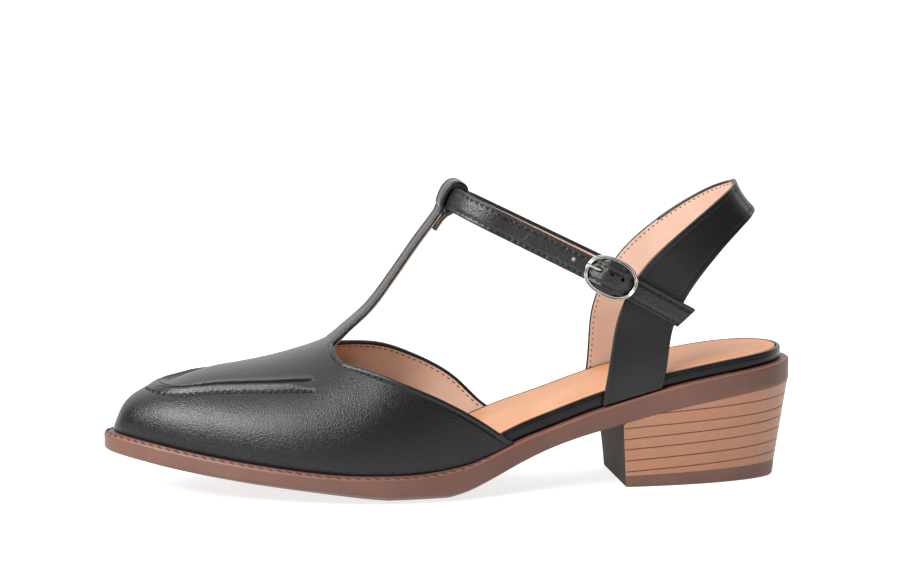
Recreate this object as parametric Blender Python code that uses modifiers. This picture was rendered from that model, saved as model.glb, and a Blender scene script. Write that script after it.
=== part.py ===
"""Left shoe: closed almond toe, T-strap, slingback and a stacked block heel.

Toe towards -X, outer side of the foot towards -Y, floor at Z = 0.
Sizes and tables are in millimetres; mesh_object() turns them into metres.
A station is a distance from the tip of the toe along the shoe.
"""

import math

import bmesh
import bpy
import numpy as np

MM = 0.001

# Driving sizes
LENGTH = 255.0            # outsole, toe tip to heel back
PLAN_SHIFT = 1.64         # brings the middle of the outline's width to Y = 0
CLEARANCE = 0.3           # between pieces that lie on each other
SOLE_EDGE_ROUND = 1.3     # rounding under the sole's edge
TREAD_INSET = 13.0        # edge strip of the underside that curves up to the side
UPPER_WALL = 1.8          # leather and lining of the upper
WALL_BULGE = 1.0          # swell of the upper's side above the welt
NOSE_LEAN = 3.2           # how far the nose leans back over the height of the footbed
NOSE_LIFT = 0.4           # more clearance under the leaning nose
NOSE_REACH = 14.0
FOOTBED_INSET = 3.2       # footbed edge inside the sole's edge, waist and heel
RIM_WIDTH = 1.6           # rim of the footbed round the sock
SOCK_DEPTH = 0.9          # sock, flush with the rim
BREAST = 187.6            # station of the heel's front face at its top
HEEL_FLOOR_FRONT = 189.9  # and at the floor
HEEL_FLOOR_BACK = 249.8   # back of the heel at the floor
HEEL_FLOOR_HALF = 22.3    # half width of the heel at the floor
HEEL_FLOOR_SHIFT = 1.2    # and its shift to the inner side
HEEL_TOP_INSET = 0.3      # heel block inside the sole's edge at its top
LIFT_FRONT = 4.3          # depth of the top lift at the breast
LIFT_BACK = 5.2           # and at the back

# Raised seam over the toe
SEAM_FRONT = 17.8         # station of its front bend
SEAM_END = 79.0           # station where its legs run out
SEAM_HEIGHT = 1.1
SEAM_REACH = 2.8          # half width of its rounded section

# T-strap and its loop
THROAT = 82.6             # station of the front end of the side openings
THROAT_HALF = 9.2         # half width of the strap at the throat
STRAP_HALF = 6.2          # and above it
STRAP_NARROWS = 7.0       # height over which it narrows

# Ankle strap: its flat path lies in a plane that falls towards the heel
STRAP_FALL = math.radians(26.5)
LOOP_AT = (128.5, 105.8)  # station and height of the middle of the loop
ANKLE_WIDTH = 8.8
ANKLE_DEPTH = 1.5
ANKLE_APEX = -0.5         # front of its bend, from the loop's middle
ANKLE_BEND = 21.0         # radius of its bend round the instep
ANKLE_FREE_END = 92.6     # free end, from the loop's middle
ANKLE_DROOP = 1.1         # how far the free end hangs below the strap's line
ANKLE_SKEW = 1.6          # slant of the cut at the free end
ANKLE_SEWN_END = 82.0     # end sewn on the inner side of the sling

# Buckle
BUCKLE_AT = 60.0          # middle of the buckle along the strap, from the loop's middle
BUCKLE_RISE = 0.3         # its middle above the strap's line
BUCKLE_Y = -29.7
BUCKLE_HALF_LONG = 9.6    # to the middle of the frame's wire
BUCKLE_HALF_HIGH = 6.6
BUCKLE_WIRE = 0.75        # radius of the frame's wire
BUCKLE_FULL = 2.3         # power of its oval, 2 would be an ellipse
WEAVE_REACH = 7.5         # half length of the strap's rise over the bar
BAR_RADIUS = 0.5
EYE_RADIUS = 0.98
EYE_WIRE = 0.28
PRONG_WIDTH = 1.5
PRONG_DEPTH = 0.9
PRONG_RISE = 1.2          # prong above the strap's line
TAB_WIDTH = 7.4
TAB_DEPTH = 1.1
TAB_LENGTH = 17.0

# Sole by station: plan, underside on the centre line, rise of the underside to its edge,
# outer corner of the top, welt beyond the upper, rise of the top from its corner to the upper,
# and rim of the footbed
SOLE_COLUMNS = ("station", "half_width", "swing", "underside", "edge_rise", "corner", "welt", "lip", "rim")
SOLE_ROWS = [
    (0.0, 0.0, 2.2, 14.3, 1.3, 21.5, 3.4, 0.8, 26.3),
    (10.0, 16.8, 1.4, 12.8, 1.4, 20.4, 3.4, 0.8, 25.3),
    (20.0, 24.0, 1.0, 11.0, 1.5, 18.8, 3.4, 0.8, 23.8),
    (35.0, 31.1, 0.5, 8.6, 1.7, 16.2, 3.4, 0.8, 21.2),
    (50.0, 36.3, 0.0, 6.4, 1.9, 13.9, 3.4, 0.8, 18.9),
    (70.0, 40.7, -0.8, 3.8, 2.2, 11.3, 3.4, 0.8, 16.3),
    (85.0, 42.2, -1.4, 1.8, 2.4, 9.9, 3.4, 0.8, 14.9),
    (98.0, 42.0, -2.0, 0.2, 2.6, 9.5, 3.4, 0.8, 14.5),
    (110.0, 40.7, -2.5, -0.5, 2.6, 9.6, 3.3, 0.8, 14.7),
    (121.0, 38.6, -2.9, -0.1, 2.5, 10.8, 3.0, 0.8, 16.0),
    (131.0, 35.4, -3.8, 2.3, 2.3, 13.0, 2.4, 0.7, 18.6),
    (140.0, 32.2, -4.6, 6.4, 2.0, 16.6, 1.8, 0.5, 22.6),
    (150.0, 29.3, -4.8, 11.5, 1.5, 20.7, 1.3, 0.4, 26.9),
    (160.0, 27.6, -4.3, 16.1, 1.1, 24.1, 1.2, 0.3, 30.3),
    (175.0, 27.0, -2.5, 21.4, 0.5, 29.0, 1.2, 0.3, 35.2),
    (190.0, 27.5, -0.7, 25.6, 0.0, 33.3, 1.2, 0.3, 39.5),
    (205.0, 27.9, 0.0, 29.3, 0.0, 37.4, 1.2, 0.3, 42.9),
    (220.0, 27.4, 0.0, 32.5, 0.0, 40.5, 1.2, 0.3, 45.8),
    (240.0, 23.0, 0.0, 36.0, 0.0, 43.4, 1.2, 0.3, 48.6),
    (255.0, 0.0, 0.0, 37.6, 0.0, 44.9, 1.2, 0.3, 49.9),
]

# Upper by station: crest of the last and power of its side wall; half width of the raised seam
UPPER_COLUMNS = ("station", "crest", "side_power")
UPPER_ROWS = [
    (3.4, 22.3, 1.0),
    (4.5, 26.1, 1.0),
    (6.4, 30.4, 1.0),
    (9.6, 34.4, 1.0),
    (14.0, 37.3, 1.0),
    (20.0, 40.2, 1.0),
    (28.0, 42.8, 1.0),
    (38.0, 45.0, 1.0),
    (50.0, 46.7, 1.0),
    (60.0, 48.5, 1.0),
    (70.0, 51.0, 1.0),
    (80.0, 54.3, 1.0),
    (92.0, 59.8, 0.95),
    (105.0, 66.0, 0.92),
    (125.0, 75.5, 0.92),
    (148.0, 85.0, 0.92),
]
SEAM_COLUMNS = ("station", "half_width")
SEAM_ROWS = [
    (17.8, 0.0),
    (20.8, 8.0),
    (30.0, 13.7),
    (45.0, 17.7),
    (60.0, 21.6),
    (75.0, 25.2),
    (86.0, 27.6),
]

# Top edge of the sides by station, outer and inner side of the foot
TOPLINE_COLUMNS = ("station", "outer", "inner")
TOPLINE_ROWS = [
    (82.6, 52.9, 53.6),
    (83.2, 51.4, 52.4),
    (84.6, 50.1, 51.6),
    (88.6, 49.0, 51.0),
    (99.3, 45.8, 50.1),
    (108.0, 42.2, 48.2),
    (117.1, 38.2, 44.5),
    (126.1, 33.5, 40.1),
    (135.6, 27.6, 33.2),
    (145.6, 20.9, 24.0),
    (149.6, 19.0, 22.3),
]
WING_ENDS = {"outer": 145.6, "inner": 149.4}   # stations where the sides run out on the sole

# Top face of the T-strap on its middle line
TSTRAP_COLUMNS = ("station", "height")
TSTRAP_ROWS = [
    (79.0, 53.9),
    (82.6, 55.7),
    (88.0, 59.8),
    (94.4, 64.7),
    (98.7, 69.0),
    (103.7, 75.6),
    (108.7, 82.6),
    (114.4, 90.7),
    (120.1, 98.2),
    (122.4, 101.3),
]

# Fold at the top of the T-strap: places along and across the ankle strap from the loop's middle
LOOP_COLUMNS = ("along", "across")
LOOP_ROWS = [
    (-3.6, -5.6),
    (-4.3, -3.2),
    (-4.75, 0.6),
    (-4.15, 4.3),
    (-2.4, 6.4),
    (0.0, 7.0),
    (2.3, 6.2),
    (3.6, 3.8),
    (3.7, 0.0),
    (3.5, -3.0),
    (2.6, -5.8),
    (1.2, -8.4),
    (0.2, -11.0),
    (-0.3, -13.4),
]

# Sling unrolled flat: distance forward from the back of the heel, and height, of its two edges
SLING_COLUMNS = ("front_run", "front_height", "rear_run", "rear_height")
SLING_ROWS = [
    (119.0, 31.9, 92.3, 37.9),
    (104.6, 48.2, 85.4, 46.4),
    (91.0, 63.1, 75.6, 57.7),
    (77.9, 74.5, 65.0, 67.2),
    (62.0, 85.4, 50.9, 77.2),
    (36.0, 98.8, 29.5, 89.4),
    (14.0, 107.9, 11.8, 97.1),
    (0.0, 111.3, 0.0, 100.1),
]
SLING_INSET = 2.0         # middle of the band inside the sole's edge where it stands on the sole
SLING_LEAVES = (36.0, 62.0)   # heights between which it passes from the sole's edge to the heel form
HEEL_FORM_BACK = 241.7    # back of the heel form at FORM_LEVEL
HEEL_FORM_DEPTH = 48.0    # length of its rounded back
FORM_LEVEL = 99.2
FORM_LEAN = 0.68          # forward lean of the back for each unit of height
FORM_HALF = 25.9          # half width of the form at FORM_HALF_LEVEL
FORM_HALF_LEVEL = 38.0
FORM_CLOSE = 0.058        # narrowing for each unit of height
SLING_DEPTH = 1.8
SLING_HOLLOW = 0.9         # how far the band draws in behind the heel between its edges
SLING_INNER_BACK = 1.8     # how much further back its inner leg stands

OBJECT_NAME = "t_strap_block_heel_shoe"


def natural_spline(xs, ys):
    """Natural cubic spline through the points of one table column."""
    xs = np.asarray(xs, float)
    ys = np.asarray(ys, float)
    steps = np.diff(xs)
    slopes = np.diff(ys) / steps
    count = len(xs)
    system = np.eye(count)
    right = np.zeros(count)
    for i in range(1, count - 1):
        system[i, i - 1] = steps[i - 1]
        system[i, i] = 2.0 * (steps[i - 1] + steps[i])
        system[i, i + 1] = steps[i]
        right[i] = 6.0 * (slopes[i] - slopes[i - 1])
    bends = np.linalg.solve(system, right)

    def value(x):
        x = np.clip(np.asarray(x, float), xs[0], xs[-1])
        i = np.clip(np.searchsorted(xs, x) - 1, 0, count - 2)
        left = (xs[i + 1] - x) / steps[i]
        back = (x - xs[i]) / steps[i]
        curve = (left ** 3 - left) * bends[i] + (back ** 3 - back) * bends[i + 1]
        return left * ys[i] + back * ys[i + 1] + curve * steps[i] ** 2 / 6.0

    return value


def columns_of(names, rows, measure=None):
    """Splines of all columns of a table over its first column, or over measure(first column)."""
    table = np.asarray(rows, float)
    along = table[:, 0] if measure is None else measure(table[:, 0])
    return {name: natural_spline(along, table[:, k]) for k, name in enumerate(names)}


def sole_angle(station):
    """Angle that spreads stations round the outline, so that toe and heel come out round."""
    return np.arccos(np.clip(1.0 - 2.0 * np.asarray(station, float) / LENGTH, -1.0, 1.0))


def upper_reach(station):
    """Root of the distance behind the tip of the upper, so that its nose comes out round."""
    return np.sqrt(np.maximum(np.asarray(station, float) - UPPER_ROWS[0][0], 0.0))


def seam_reach(station):
    return np.sqrt(np.maximum(np.asarray(station, float) - SEAM_FRONT, 0.0))


SOLE = columns_of(SOLE_COLUMNS, SOLE_ROWS)
PLAN = columns_of(SOLE_COLUMNS, SOLE_ROWS, sole_angle)
UPPER = columns_of(UPPER_COLUMNS, UPPER_ROWS, upper_reach)
SEAM = columns_of(SEAM_COLUMNS, SEAM_ROWS, seam_reach)
TOPLINE = columns_of(TOPLINE_COLUMNS, TOPLINE_ROWS, lambda s: np.sqrt(np.maximum(s - THROAT, 0.0)))
TSTRAP = columns_of(TSTRAP_COLUMNS, TSTRAP_ROWS)


def outline(angles, inset):
    """Stations and y of the sole's outline moved inwards; angle 0 is the toe, pi the heel back."""
    def edge(angle):
        turn = np.minimum(angle % (2 * math.pi), 2 * math.pi - angle % (2 * math.pi))
        station = LENGTH * 0.5 * (1.0 - np.cos(turn))
        side = np.where(np.sin(angle) >= 0.0, -1.0, 1.0)
        return station, PLAN["swing"](turn) + side * PLAN["half_width"](turn)

    angles = np.asarray(angles, float)
    step = 1e-3
    ahead = np.array(edge(angles + step))
    behind = np.array(edge(angles - step))
    tangent = ahead - behind
    tangent /= np.linalg.norm(tangent, axis=0)
    station, y = edge(angles)
    inset = inset(station) if callable(inset) else inset
    return station - tangent[1] * inset, y + tangent[0] * inset


def underside(station):
    return np.maximum(SOLE["underside"](station), 0.0)


def corner(station):
    return SOLE["corner"](station)


def seat(station):
    return corner(station) + SOLE["lip"](station)


def footbed_depth(station):
    return SOLE["rim"](station) - seat(station) - CLEARANCE


def footbed_inset(station):
    """Clear of the upper's inner face in front, close to the sole's edge behind."""
    nose = NOSE_LEAN * np.clip(1.0 - np.asarray(station) / 30.0, 0.0, 1.0)
    inside_upper = SOLE["welt"](station) + UPPER_WALL + 2.0 * CLEARANCE + nose
    blend = np.clip((np.asarray(station) - 146.0) / 12.0, 0.0, 1.0)
    return inside_upper * (1.0 - blend) + FOOTBED_INSET * blend


def mesh_object(name, points, faces):
    """Object from points given as station, y and height in millimetres."""
    mesh = bpy.data.meshes.new(name)
    places = [((p[0] - LENGTH / 2) * MM, (p[1] + PLAN_SHIFT) * MM, p[2] * MM) for p in points]
    mesh.from_pydata(places, [], faces)
    shape = bmesh.new()
    shape.from_mesh(mesh)
    bmesh.ops.remove_doubles(shape, verts=shape.verts, dist=0.00001)
    bmesh.ops.recalc_face_normals(shape, faces=shape.faces)
    shape.to_mesh(mesh)
    shape.free()
    obj = bpy.data.objects.new(name, mesh)
    PARTS.objects.link(obj)
    return obj


def cap_across(first, count, closed):
    """Faces across a ring between its two sides, so that the cap follows the length of the shoe."""
    faces = []
    if closed:
        faces.append((first, first + 1, first + count - 1))
        for k in range(1, count // 2 - 1):
            faces.append((first + k, first + k + 1, first + count - k - 1, first + count - k))
        half = first + count // 2
        faces.append((half - 1, half, half + 1))
    else:
        for k in range(count // 2 - 1):
            faces.append((first + k, first + k + 1, first + count - k - 2, first + count - k - 1))
    return faces


def ring_solid(name, rings, closed=True):
    """Solid through rings of equal count, capped at both ends."""
    count = len(rings[0])
    points = [p for ring in rings for p in ring]
    faces = cap_across(0, count, closed)
    for r in range(len(rings) - 1):
        for k in range(count):
            a = r * count + k
            b = r * count + (k + 1) % count
            faces.append((a, b, b + count, a + count))
    faces += cap_across((len(rings) - 1) * count, count, closed)
    return mesh_object(name, points, faces)


def sheet_faces(rows, columns):
    return [(i * columns + j, i * columns + j + 1, (i + 1) * columns + j + 1, (i + 1) * columns + j)
            for i in range(rows - 1) for j in range(columns - 1)]


def thicken(obj, depth, offset):
    """Turn an open sheet into a closed wall."""
    wall = obj.modifiers.new("wall", "SOLIDIFY")
    wall.thickness = depth * MM
    wall.offset = offset
    wall.use_rim = True
    return obj


def combine(obj, other, operation):
    cut = obj.modifiers.new(operation.lower(), "BOOLEAN")
    cut.operation = operation
    cut.solver = "EXACT"
    cut.object = other


def cutter(obj):
    PARTS.objects.unlink(obj)
    CUTTERS.objects.link(obj)
    obj.hide_render = True
    obj.display_type = "WIRE"
    return obj


def colour(obj, name, rgb, roughness, metallic=0.0):
    material = bpy.data.materials.new(name)
    material.use_nodes = True
    shader = material.node_tree.nodes["Principled BSDF"]
    shader.inputs["Base Color"].default_value = (*rgb, 1.0)
    shader.inputs["Roughness"].default_value = roughness
    shader.inputs["Metallic"].default_value = metallic
    obj.data.materials.append(material)


# Sole, heel and footbed

def level_ring(angles, inset, height):
    """Ring of the sole's outline at an inset, with its height worked out from the station."""
    station, y = outline(angles, inset)
    return list(zip(station, y, height(station)))


def make_outsole():
    angles = np.linspace(0.0, 2 * math.pi, 100, endpoint=False)
    rings = [
        level_ring(angles, TREAD_INSET, underside),
        level_ring(angles, TREAD_INSET * 0.5, lambda s: underside(s) + SOLE["edge_rise"](s) * 0.3),
        level_ring(angles, SOLE_EDGE_ROUND, lambda s: underside(s) + SOLE["edge_rise"](s)),
        level_ring(angles, 0.0, lambda s: underside(s) + SOLE["edge_rise"](s) + SOLE_EDGE_ROUND),
        level_ring(angles, 0.0, corner),
        level_ring(angles, 0.7, lambda s: corner(s) + SOLE["lip"](s) * 0.6),
        level_ring(angles, 3.0, seat),
    ]
    return ring_solid("outsole", rings)


def heel_ring(share, inset, height, count=34):
    """D-shaped ring round the back, between the sole's outline above and a half ellipse at the floor."""
    turns = np.linspace(0.0, math.pi, 1600)
    start = turns[np.argmax(outline(turns, HEEL_TOP_INSET)[0] >= BREAST)]
    top = np.array(outline(np.linspace(start, 2 * math.pi - start, count), HEEL_TOP_INSET))
    top[0, [0, -1]] = BREAST
    turns = np.linspace(-math.pi / 2, math.pi / 2, count)
    length = HEEL_FLOOR_BACK - HEEL_FLOOR_FRONT - 2.0 * inset
    floor = np.array((HEEL_FLOOR_FRONT + inset + length * np.cos(turns),
                      HEEL_FLOOR_SHIFT + (HEEL_FLOOR_HALF - inset) * np.sin(turns)))
    station, y = top * (1.0 - share) + floor * share
    return list(zip(station, y, height(station)))


def lift_top(station):
    share = (station - BREAST) / (LENGTH - BREAST)
    return LIFT_FRONT + (LIFT_BACK - LIFT_FRONT) * share


def make_heel_block():
    rings = []
    for share in (0.0, 0.2, 0.5, 0.87):
        def height(station, share=share):
            top = underside(station) - CLEARANCE
            return top + (lift_top(station) + CLEARANCE - top) * share / 0.87
        rings.append(heel_ring(share, 0.0, height))
    return ring_solid("heel_block", rings, closed=False)


def make_top_lift():
    top = heel_ring(0.88, 0.0, lift_top)
    low = heel_ring(0.98, 0.0, lambda s: 0.6 + 0.0 * s)
    floor = heel_ring(1.0, 0.6, lambda s: 0.0 * s)
    return ring_solid("top_lift", [top, low, floor], closed=False)


def footbed_ring(angles, extra, drop):
    """Ring inside the footbed's edge, at a drop below its rim."""
    return level_ring(angles, lambda s: footbed_inset(s) + extra,
                      lambda s: SOLE["rim"](s) - drop(s))


def make_footbed():
    angles = np.linspace(0.0, 2 * math.pi, 64, endpoint=False)
    rings = [
        footbed_ring(angles, 0.9, footbed_depth),
        footbed_ring(angles, 0.0, lambda s: footbed_depth(s) - 1.0),
    ]
    for extra, drop in ((0.0, 1.0), (0.35, 0.25), (0.9, 0.0), (RIM_WIDTH - 0.1, 0.0),
                        (RIM_WIDTH, SOCK_DEPTH + CLEARANCE)):
        rings.append(footbed_ring(angles, extra, lambda s, d=drop: d))
    return ring_solid("footbed", rings)


def make_sock():
    angles = np.linspace(0.0, 2 * math.pi, 64, endpoint=False)
    edge = RIM_WIDTH + CLEARANCE
    rings = [footbed_ring(angles, edge + extra, lambda s, d=drop: d)
             for extra, drop in ((0.0, SOCK_DEPTH), (0.0, 0.3), (0.4, 0.0))]
    return ring_solid("sock", rings)


# Upper

FEATHER_ANGLES = np.linspace(0.0, math.pi, 1500)
FEATHER_OUTER = np.array(outline(FEATHER_ANGLES, SOLE["welt"]))
FEATHER_INNER = np.array(outline(-FEATHER_ANGLES, SOLE["welt"]))


def section(station):
    """Middle, half width, foot height and rise of the last's section at a station."""
    outer = np.interp(station, FEATHER_OUTER[0], FEATHER_OUTER[1])
    inner = np.interp(station, FEATHER_INNER[0], FEATHER_INNER[1])
    foot = float(seat(station)) + CLEARANCE + NOSE_LIFT * max(1.0 - station / NOSE_REACH, 0.0)
    crest = float(UPPER["crest"](upper_reach(station)))
    return 0.5 * (outer + inner), 0.5 * (inner - outer), foot, max(crest - foot, 0.0)


def last_point(station, angle, side):
    """Point of the last's surface: angle 0 at the welt, a quarter turn at the crest."""
    middle, half, foot, rise = section(station)
    power = float(UPPER["side_power"](upper_reach(station)))
    bulge = min(WALL_BULGE, 0.05 * half) * math.sin(2.0 * angle)
    across = half * max(math.cos(angle), 0.0) ** power + bulge
    return np.array((station, middle + side * across, foot + rise * math.sin(angle)))


def angle_at_width(station, width):
    half = section(station)[1]
    power = float(UPPER["side_power"](upper_reach(station)))
    return math.acos(min(max(width / half, 0.0), 1.0) ** (1.0 / power))


def angle_at_height(station, height):
    middle, half, foot, rise = section(station)
    return math.asin(min(max((height - foot) / rise, 0.012), 1.0))


def seam_half(station):
    return float(SEAM["half_width"](seam_reach(station)))


def seam_line():
    """Points of the raised seam on the last, from its outer end round the front to its inner end."""
    reaches = np.linspace(0.0, math.sqrt(SEAM_END - SEAM_FRONT), 70)
    stations = SEAM_FRONT + reaches ** 2
    outer = [last_point(s, angle_at_width(s, seam_half(s)), -1.0) for s in stations]
    inner = [last_point(s, angle_at_width(s, seam_half(s)), 1.0) for s in stations]
    return np.array(outer[::-1] + inner[1:])


SEAM_LINE = seam_line()


def seam_lift(point):
    """Rise of the raised seam at a point of the last, running out towards the ends of its legs."""
    gap = np.sqrt(np.min(np.sum((SEAM_LINE - point) ** 2, axis=1)))
    if gap >= SEAM_REACH:
        return 0.0
    fade = min(max((SEAM_END - point[0]) / 8.0, 0.0), 1.0)
    return SEAM_HEIGHT * fade * math.cos(0.5 * math.pi * gap / SEAM_REACH) ** 2


def last_normal(station, angle, side):
    step = 1e-3
    here = last_point(station, angle, side)
    up = last_point(station, angle + step, side) - here
    back = last_point(station + step, angle, side) - here
    normal = np.cross(up, back)
    normal *= np.sign(normal[1] * side + 1e-12 + normal[2])
    return normal / max(np.linalg.norm(normal), 1e-12)


def side_angles(station):
    """Angles of the side's columns, with five of them on the raised seam."""
    half, rise = section(station)[1], section(station)[3]
    seam = max(seam_half(station), 0.42 * half)
    edge = min(THROAT_HALF, 0.55 * (seam - SEAM_REACH) if seam > SEAM_REACH + 1.0 else 0.3 * seam)
    at_seam = angle_at_width(station, seam)
    pace = math.hypot(half * math.sin(at_seam), rise * math.cos(at_seam))
    reach = min(SEAM_REACH / max(pace, 1e-6), 0.4 * at_seam, 0.4 * (angle_at_width(station, edge) - at_seam))
    at_edge = angle_at_width(station, edge)
    low = [at_seam - reach] if reach > 0 else [at_seam]
    angles = list(np.linspace(0.0, low[0], 6))
    angles += [at_seam - 0.45 * reach, at_seam, at_seam + 0.45 * reach, at_seam + reach]
    angles += [0.5 * (at_seam + reach + at_edge), at_edge]
    return angles


STRAP_COLUMNS = 6


def upper_stations():
    """Rows of the vamp: close at the nose and at the front of the raised seam."""
    tip = UPPER_ROWS[0][0]
    nose = tip + np.linspace(0.0, math.sqrt(SEAM_FRONT - SEAM_REACH - tip), 8)[1:] ** 2
    bend = np.linspace(SEAM_FRONT - SEAM_REACH, SEAM_FRONT + SEAM_REACH, 5)[1:]
    back = SEAM_FRONT + np.linspace(math.sqrt(SEAM_REACH), math.sqrt(THROAT - SEAM_FRONT), 15)[1:] ** 2
    return np.concatenate((nose, bend, back))


def wing_stations(side_name):
    return THROAT + (WING_ENDS[side_name] - THROAT) * np.linspace(0.0, 1.0, 16)[1:] ** 1.4


def loop_place(along, across):
    """Station and height of a place given along and across the ankle strap."""
    return (LOOP_AT[0] + along * math.cos(STRAP_FALL) + across * math.sin(STRAP_FALL),
            LOOP_AT[1] - along * math.sin(STRAP_FALL) + across * math.cos(STRAP_FALL))


def tstrap_path():
    """Station and height along the T-strap from the throat, over the loop and down its inside."""
    stations = np.linspace(THROAT, TSTRAP_ROWS[-1][0], 13)[1:]
    rising = [(s, float(TSTRAP["height"](s))) for s in stations]
    fold = np.array([loop_place(**dict(zip(LOOP_COLUMNS, row))) for row in LOOP_ROWS])
    run = np.concatenate(([0.0], np.cumsum(np.hypot(*np.diff(fold, axis=0).T))))
    turns = np.linspace(0.0, run[-1], 24)
    folded = zip(natural_spline(run, fold[:, 0])(turns), natural_spline(run, fold[:, 1])(turns))
    return rising + list(folded)


def make_upper():
    points = [last_point(UPPER_ROWS[0][0], 0.0, -1.0)]
    faces = []
    previous = None
    stations = list(upper_stations())
    for station in stations:
        angles = side_angles(station)
        row = []
        for side in (-1.0, 1.0):
            column = []
            for angle in angles:
                place = last_point(station, angle, side)
                column.append(place + last_normal(station, angle, side) * seam_lift(place))
            row.append(column)
        outer, inner = row[0], row[1][::-1]
        edge_width = section(station)[1] * math.cos(angles[-1])
        strap = []
        for k in range(1, STRAP_COLUMNS):
            share = 2.0 * k / STRAP_COLUMNS - 1.0
            angle = angle_at_width(station, abs(share) * edge_width)
            side = -1.0 if share < 0.0 else 1.0
            place = last_point(station, angle, side)
            strap.append(place + last_normal(station, angle, side) * seam_lift(place))
        current = []
        for place in outer + strap + inner:
            current.append(len(points))
            points.append(place)
        if previous is None:
            faces += [(0, current[k + 1], current[k]) for k in range(len(current) - 1)]
        else:
            faces += [(previous[k], previous[k + 1], current[k + 1], current[k])
                      for k in range(len(current) - 1)]
        previous = current

    side_count = len(side_angles(THROAT))
    throat_angles = side_angles(THROAT)
    for side, name, columns in ((-1.0, "outer", previous[:side_count]),
                                (1.0, "inner", previous[:-side_count - 1:-1])):
        before = columns
        for station in wing_stations(name):
            top = float(TOPLINE[name](math.sqrt(station - THROAT)))
            scale = angle_at_height(station, top) / throat_angles[-1]
            current = []
            for angle in throat_angles:
                current.append(len(points))
                points.append(last_point(station, angle * scale, side))
            faces += [(before[k], before[k + 1], current[k + 1], current[k])
                      for k in range(side_count - 1)]
            before = current

    strap_columns = previous[side_count - 1:side_count + STRAP_COLUMNS]
    crown = [points[k][2] - points[strap_columns[STRAP_COLUMNS // 2]][2] for k in strap_columns]
    middle = section(THROAT)[0]
    start = float(TSTRAP["height"](THROAT))
    before = strap_columns
    for station, height in tstrap_path():
        fade = math.exp(-max(height - start, 0.0) / STRAP_NARROWS)
        half = STRAP_HALF + (THROAT_HALF - STRAP_HALF) * fade
        current = []
        for k in range(STRAP_COLUMNS + 1):
            share = 2.0 * k / STRAP_COLUMNS - 1.0
            current.append(len(points))
            points.append((station, middle * fade + share * half, height + crown[k] * fade))
        faces += [(before[k], before[k + 1], current[k + 1], current[k]) for k in range(STRAP_COLUMNS)]
        before = current
    return thicken(mesh_object("upper", points, faces), UPPER_WALL, -1.0)


# Sling

def form_half(height):
    return FORM_HALF - FORM_CLOSE * (height - FORM_HALF_LEVEL)


def form_place(run, height, side, share):
    """Place on the heel form, at a distance forward from its back measured level round it."""
    half = form_half(height)
    low, high = SLING_LEAVES
    free = min(max((height - low) / (high - low), 0.0), 1.0)
    free = free * free * (3.0 - 2.0 * free)
    if side > 0.0:
        run -= SLING_INNER_BACK * (1.0 - free)
    turns = np.linspace(math.pi / 2, 0.0, 200)
    pace = np.hypot(HEEL_FORM_DEPTH * np.cos(turns), half * np.sin(turns))
    steps = 0.5 * (pace[1:] + pace[:-1]) * (turns[0] - turns[1])
    runs = np.concatenate(([0.0], np.cumsum(steps)))
    turn = float(np.interp(run, runs, turns))
    station = HEEL_FORM_BACK - HEEL_FORM_DEPTH + HEEL_FORM_DEPTH * math.sin(turn)
    station -= max(run - runs[-1], 0.0)
    station -= FORM_LEAN * (height - FORM_LEVEL)
    station -= SLING_HOLLOW * math.sin(math.pi * share) * math.sin(turn) ** 2
    angle = sole_angle(station)
    on_sole = PLAN["swing"](angle) + side * (PLAN["half_width"](angle) - SLING_INSET)
    return station, side * half * math.cos(turn) * free + float(on_sole) * (1.0 - free), height


def make_sling():
    rows = np.array(SLING_ROWS)
    steps = np.arange(len(rows), dtype=float)
    pattern = {name: natural_spline(steps, rows[:, k]) for k, name in enumerate(SLING_COLUMNS)}
    along = np.linspace(0.0, len(rows) - 1.0, 27)
    columns = 6
    places = []
    for side, order in ((-1.0, along), (1.0, along[-2::-1])):
        for t in order:
            for k in range(columns):
                share = k / (columns - 1.0)
                run = pattern["front_run"](t) * (1 - share) + pattern["rear_run"](t) * share
                height = pattern["front_height"](t) * (1 - share) + pattern["rear_height"](t) * share
                places.append(form_place(float(run), float(height), side, share))
    sheet = mesh_object("sling", places, sheet_faces(len(places) // columns, columns))
    return thicken(sheet, SLING_DEPTH, 0.0)


# Ankle strap and buckle

def strap_place(along, y, across):
    station, height = loop_place(along, across)
    return station, y, height


def weave(along):
    """How far the strap moves out over the buckle's bar and in under its frame."""
    gap = abs(along - BUCKLE_AT) / WEAVE_REACH
    out = -(EYE_RADIUS + EYE_WIRE + CLEARANCE + ANKLE_DEPTH / 2)
    under = BUCKLE_WIRE + CLEARANCE + ANKLE_DEPTH / 2
    if gap >= 1.0:
        return under
    return under + (out - under) * 0.5 * (1.0 + math.cos(math.pi * gap))


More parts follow.
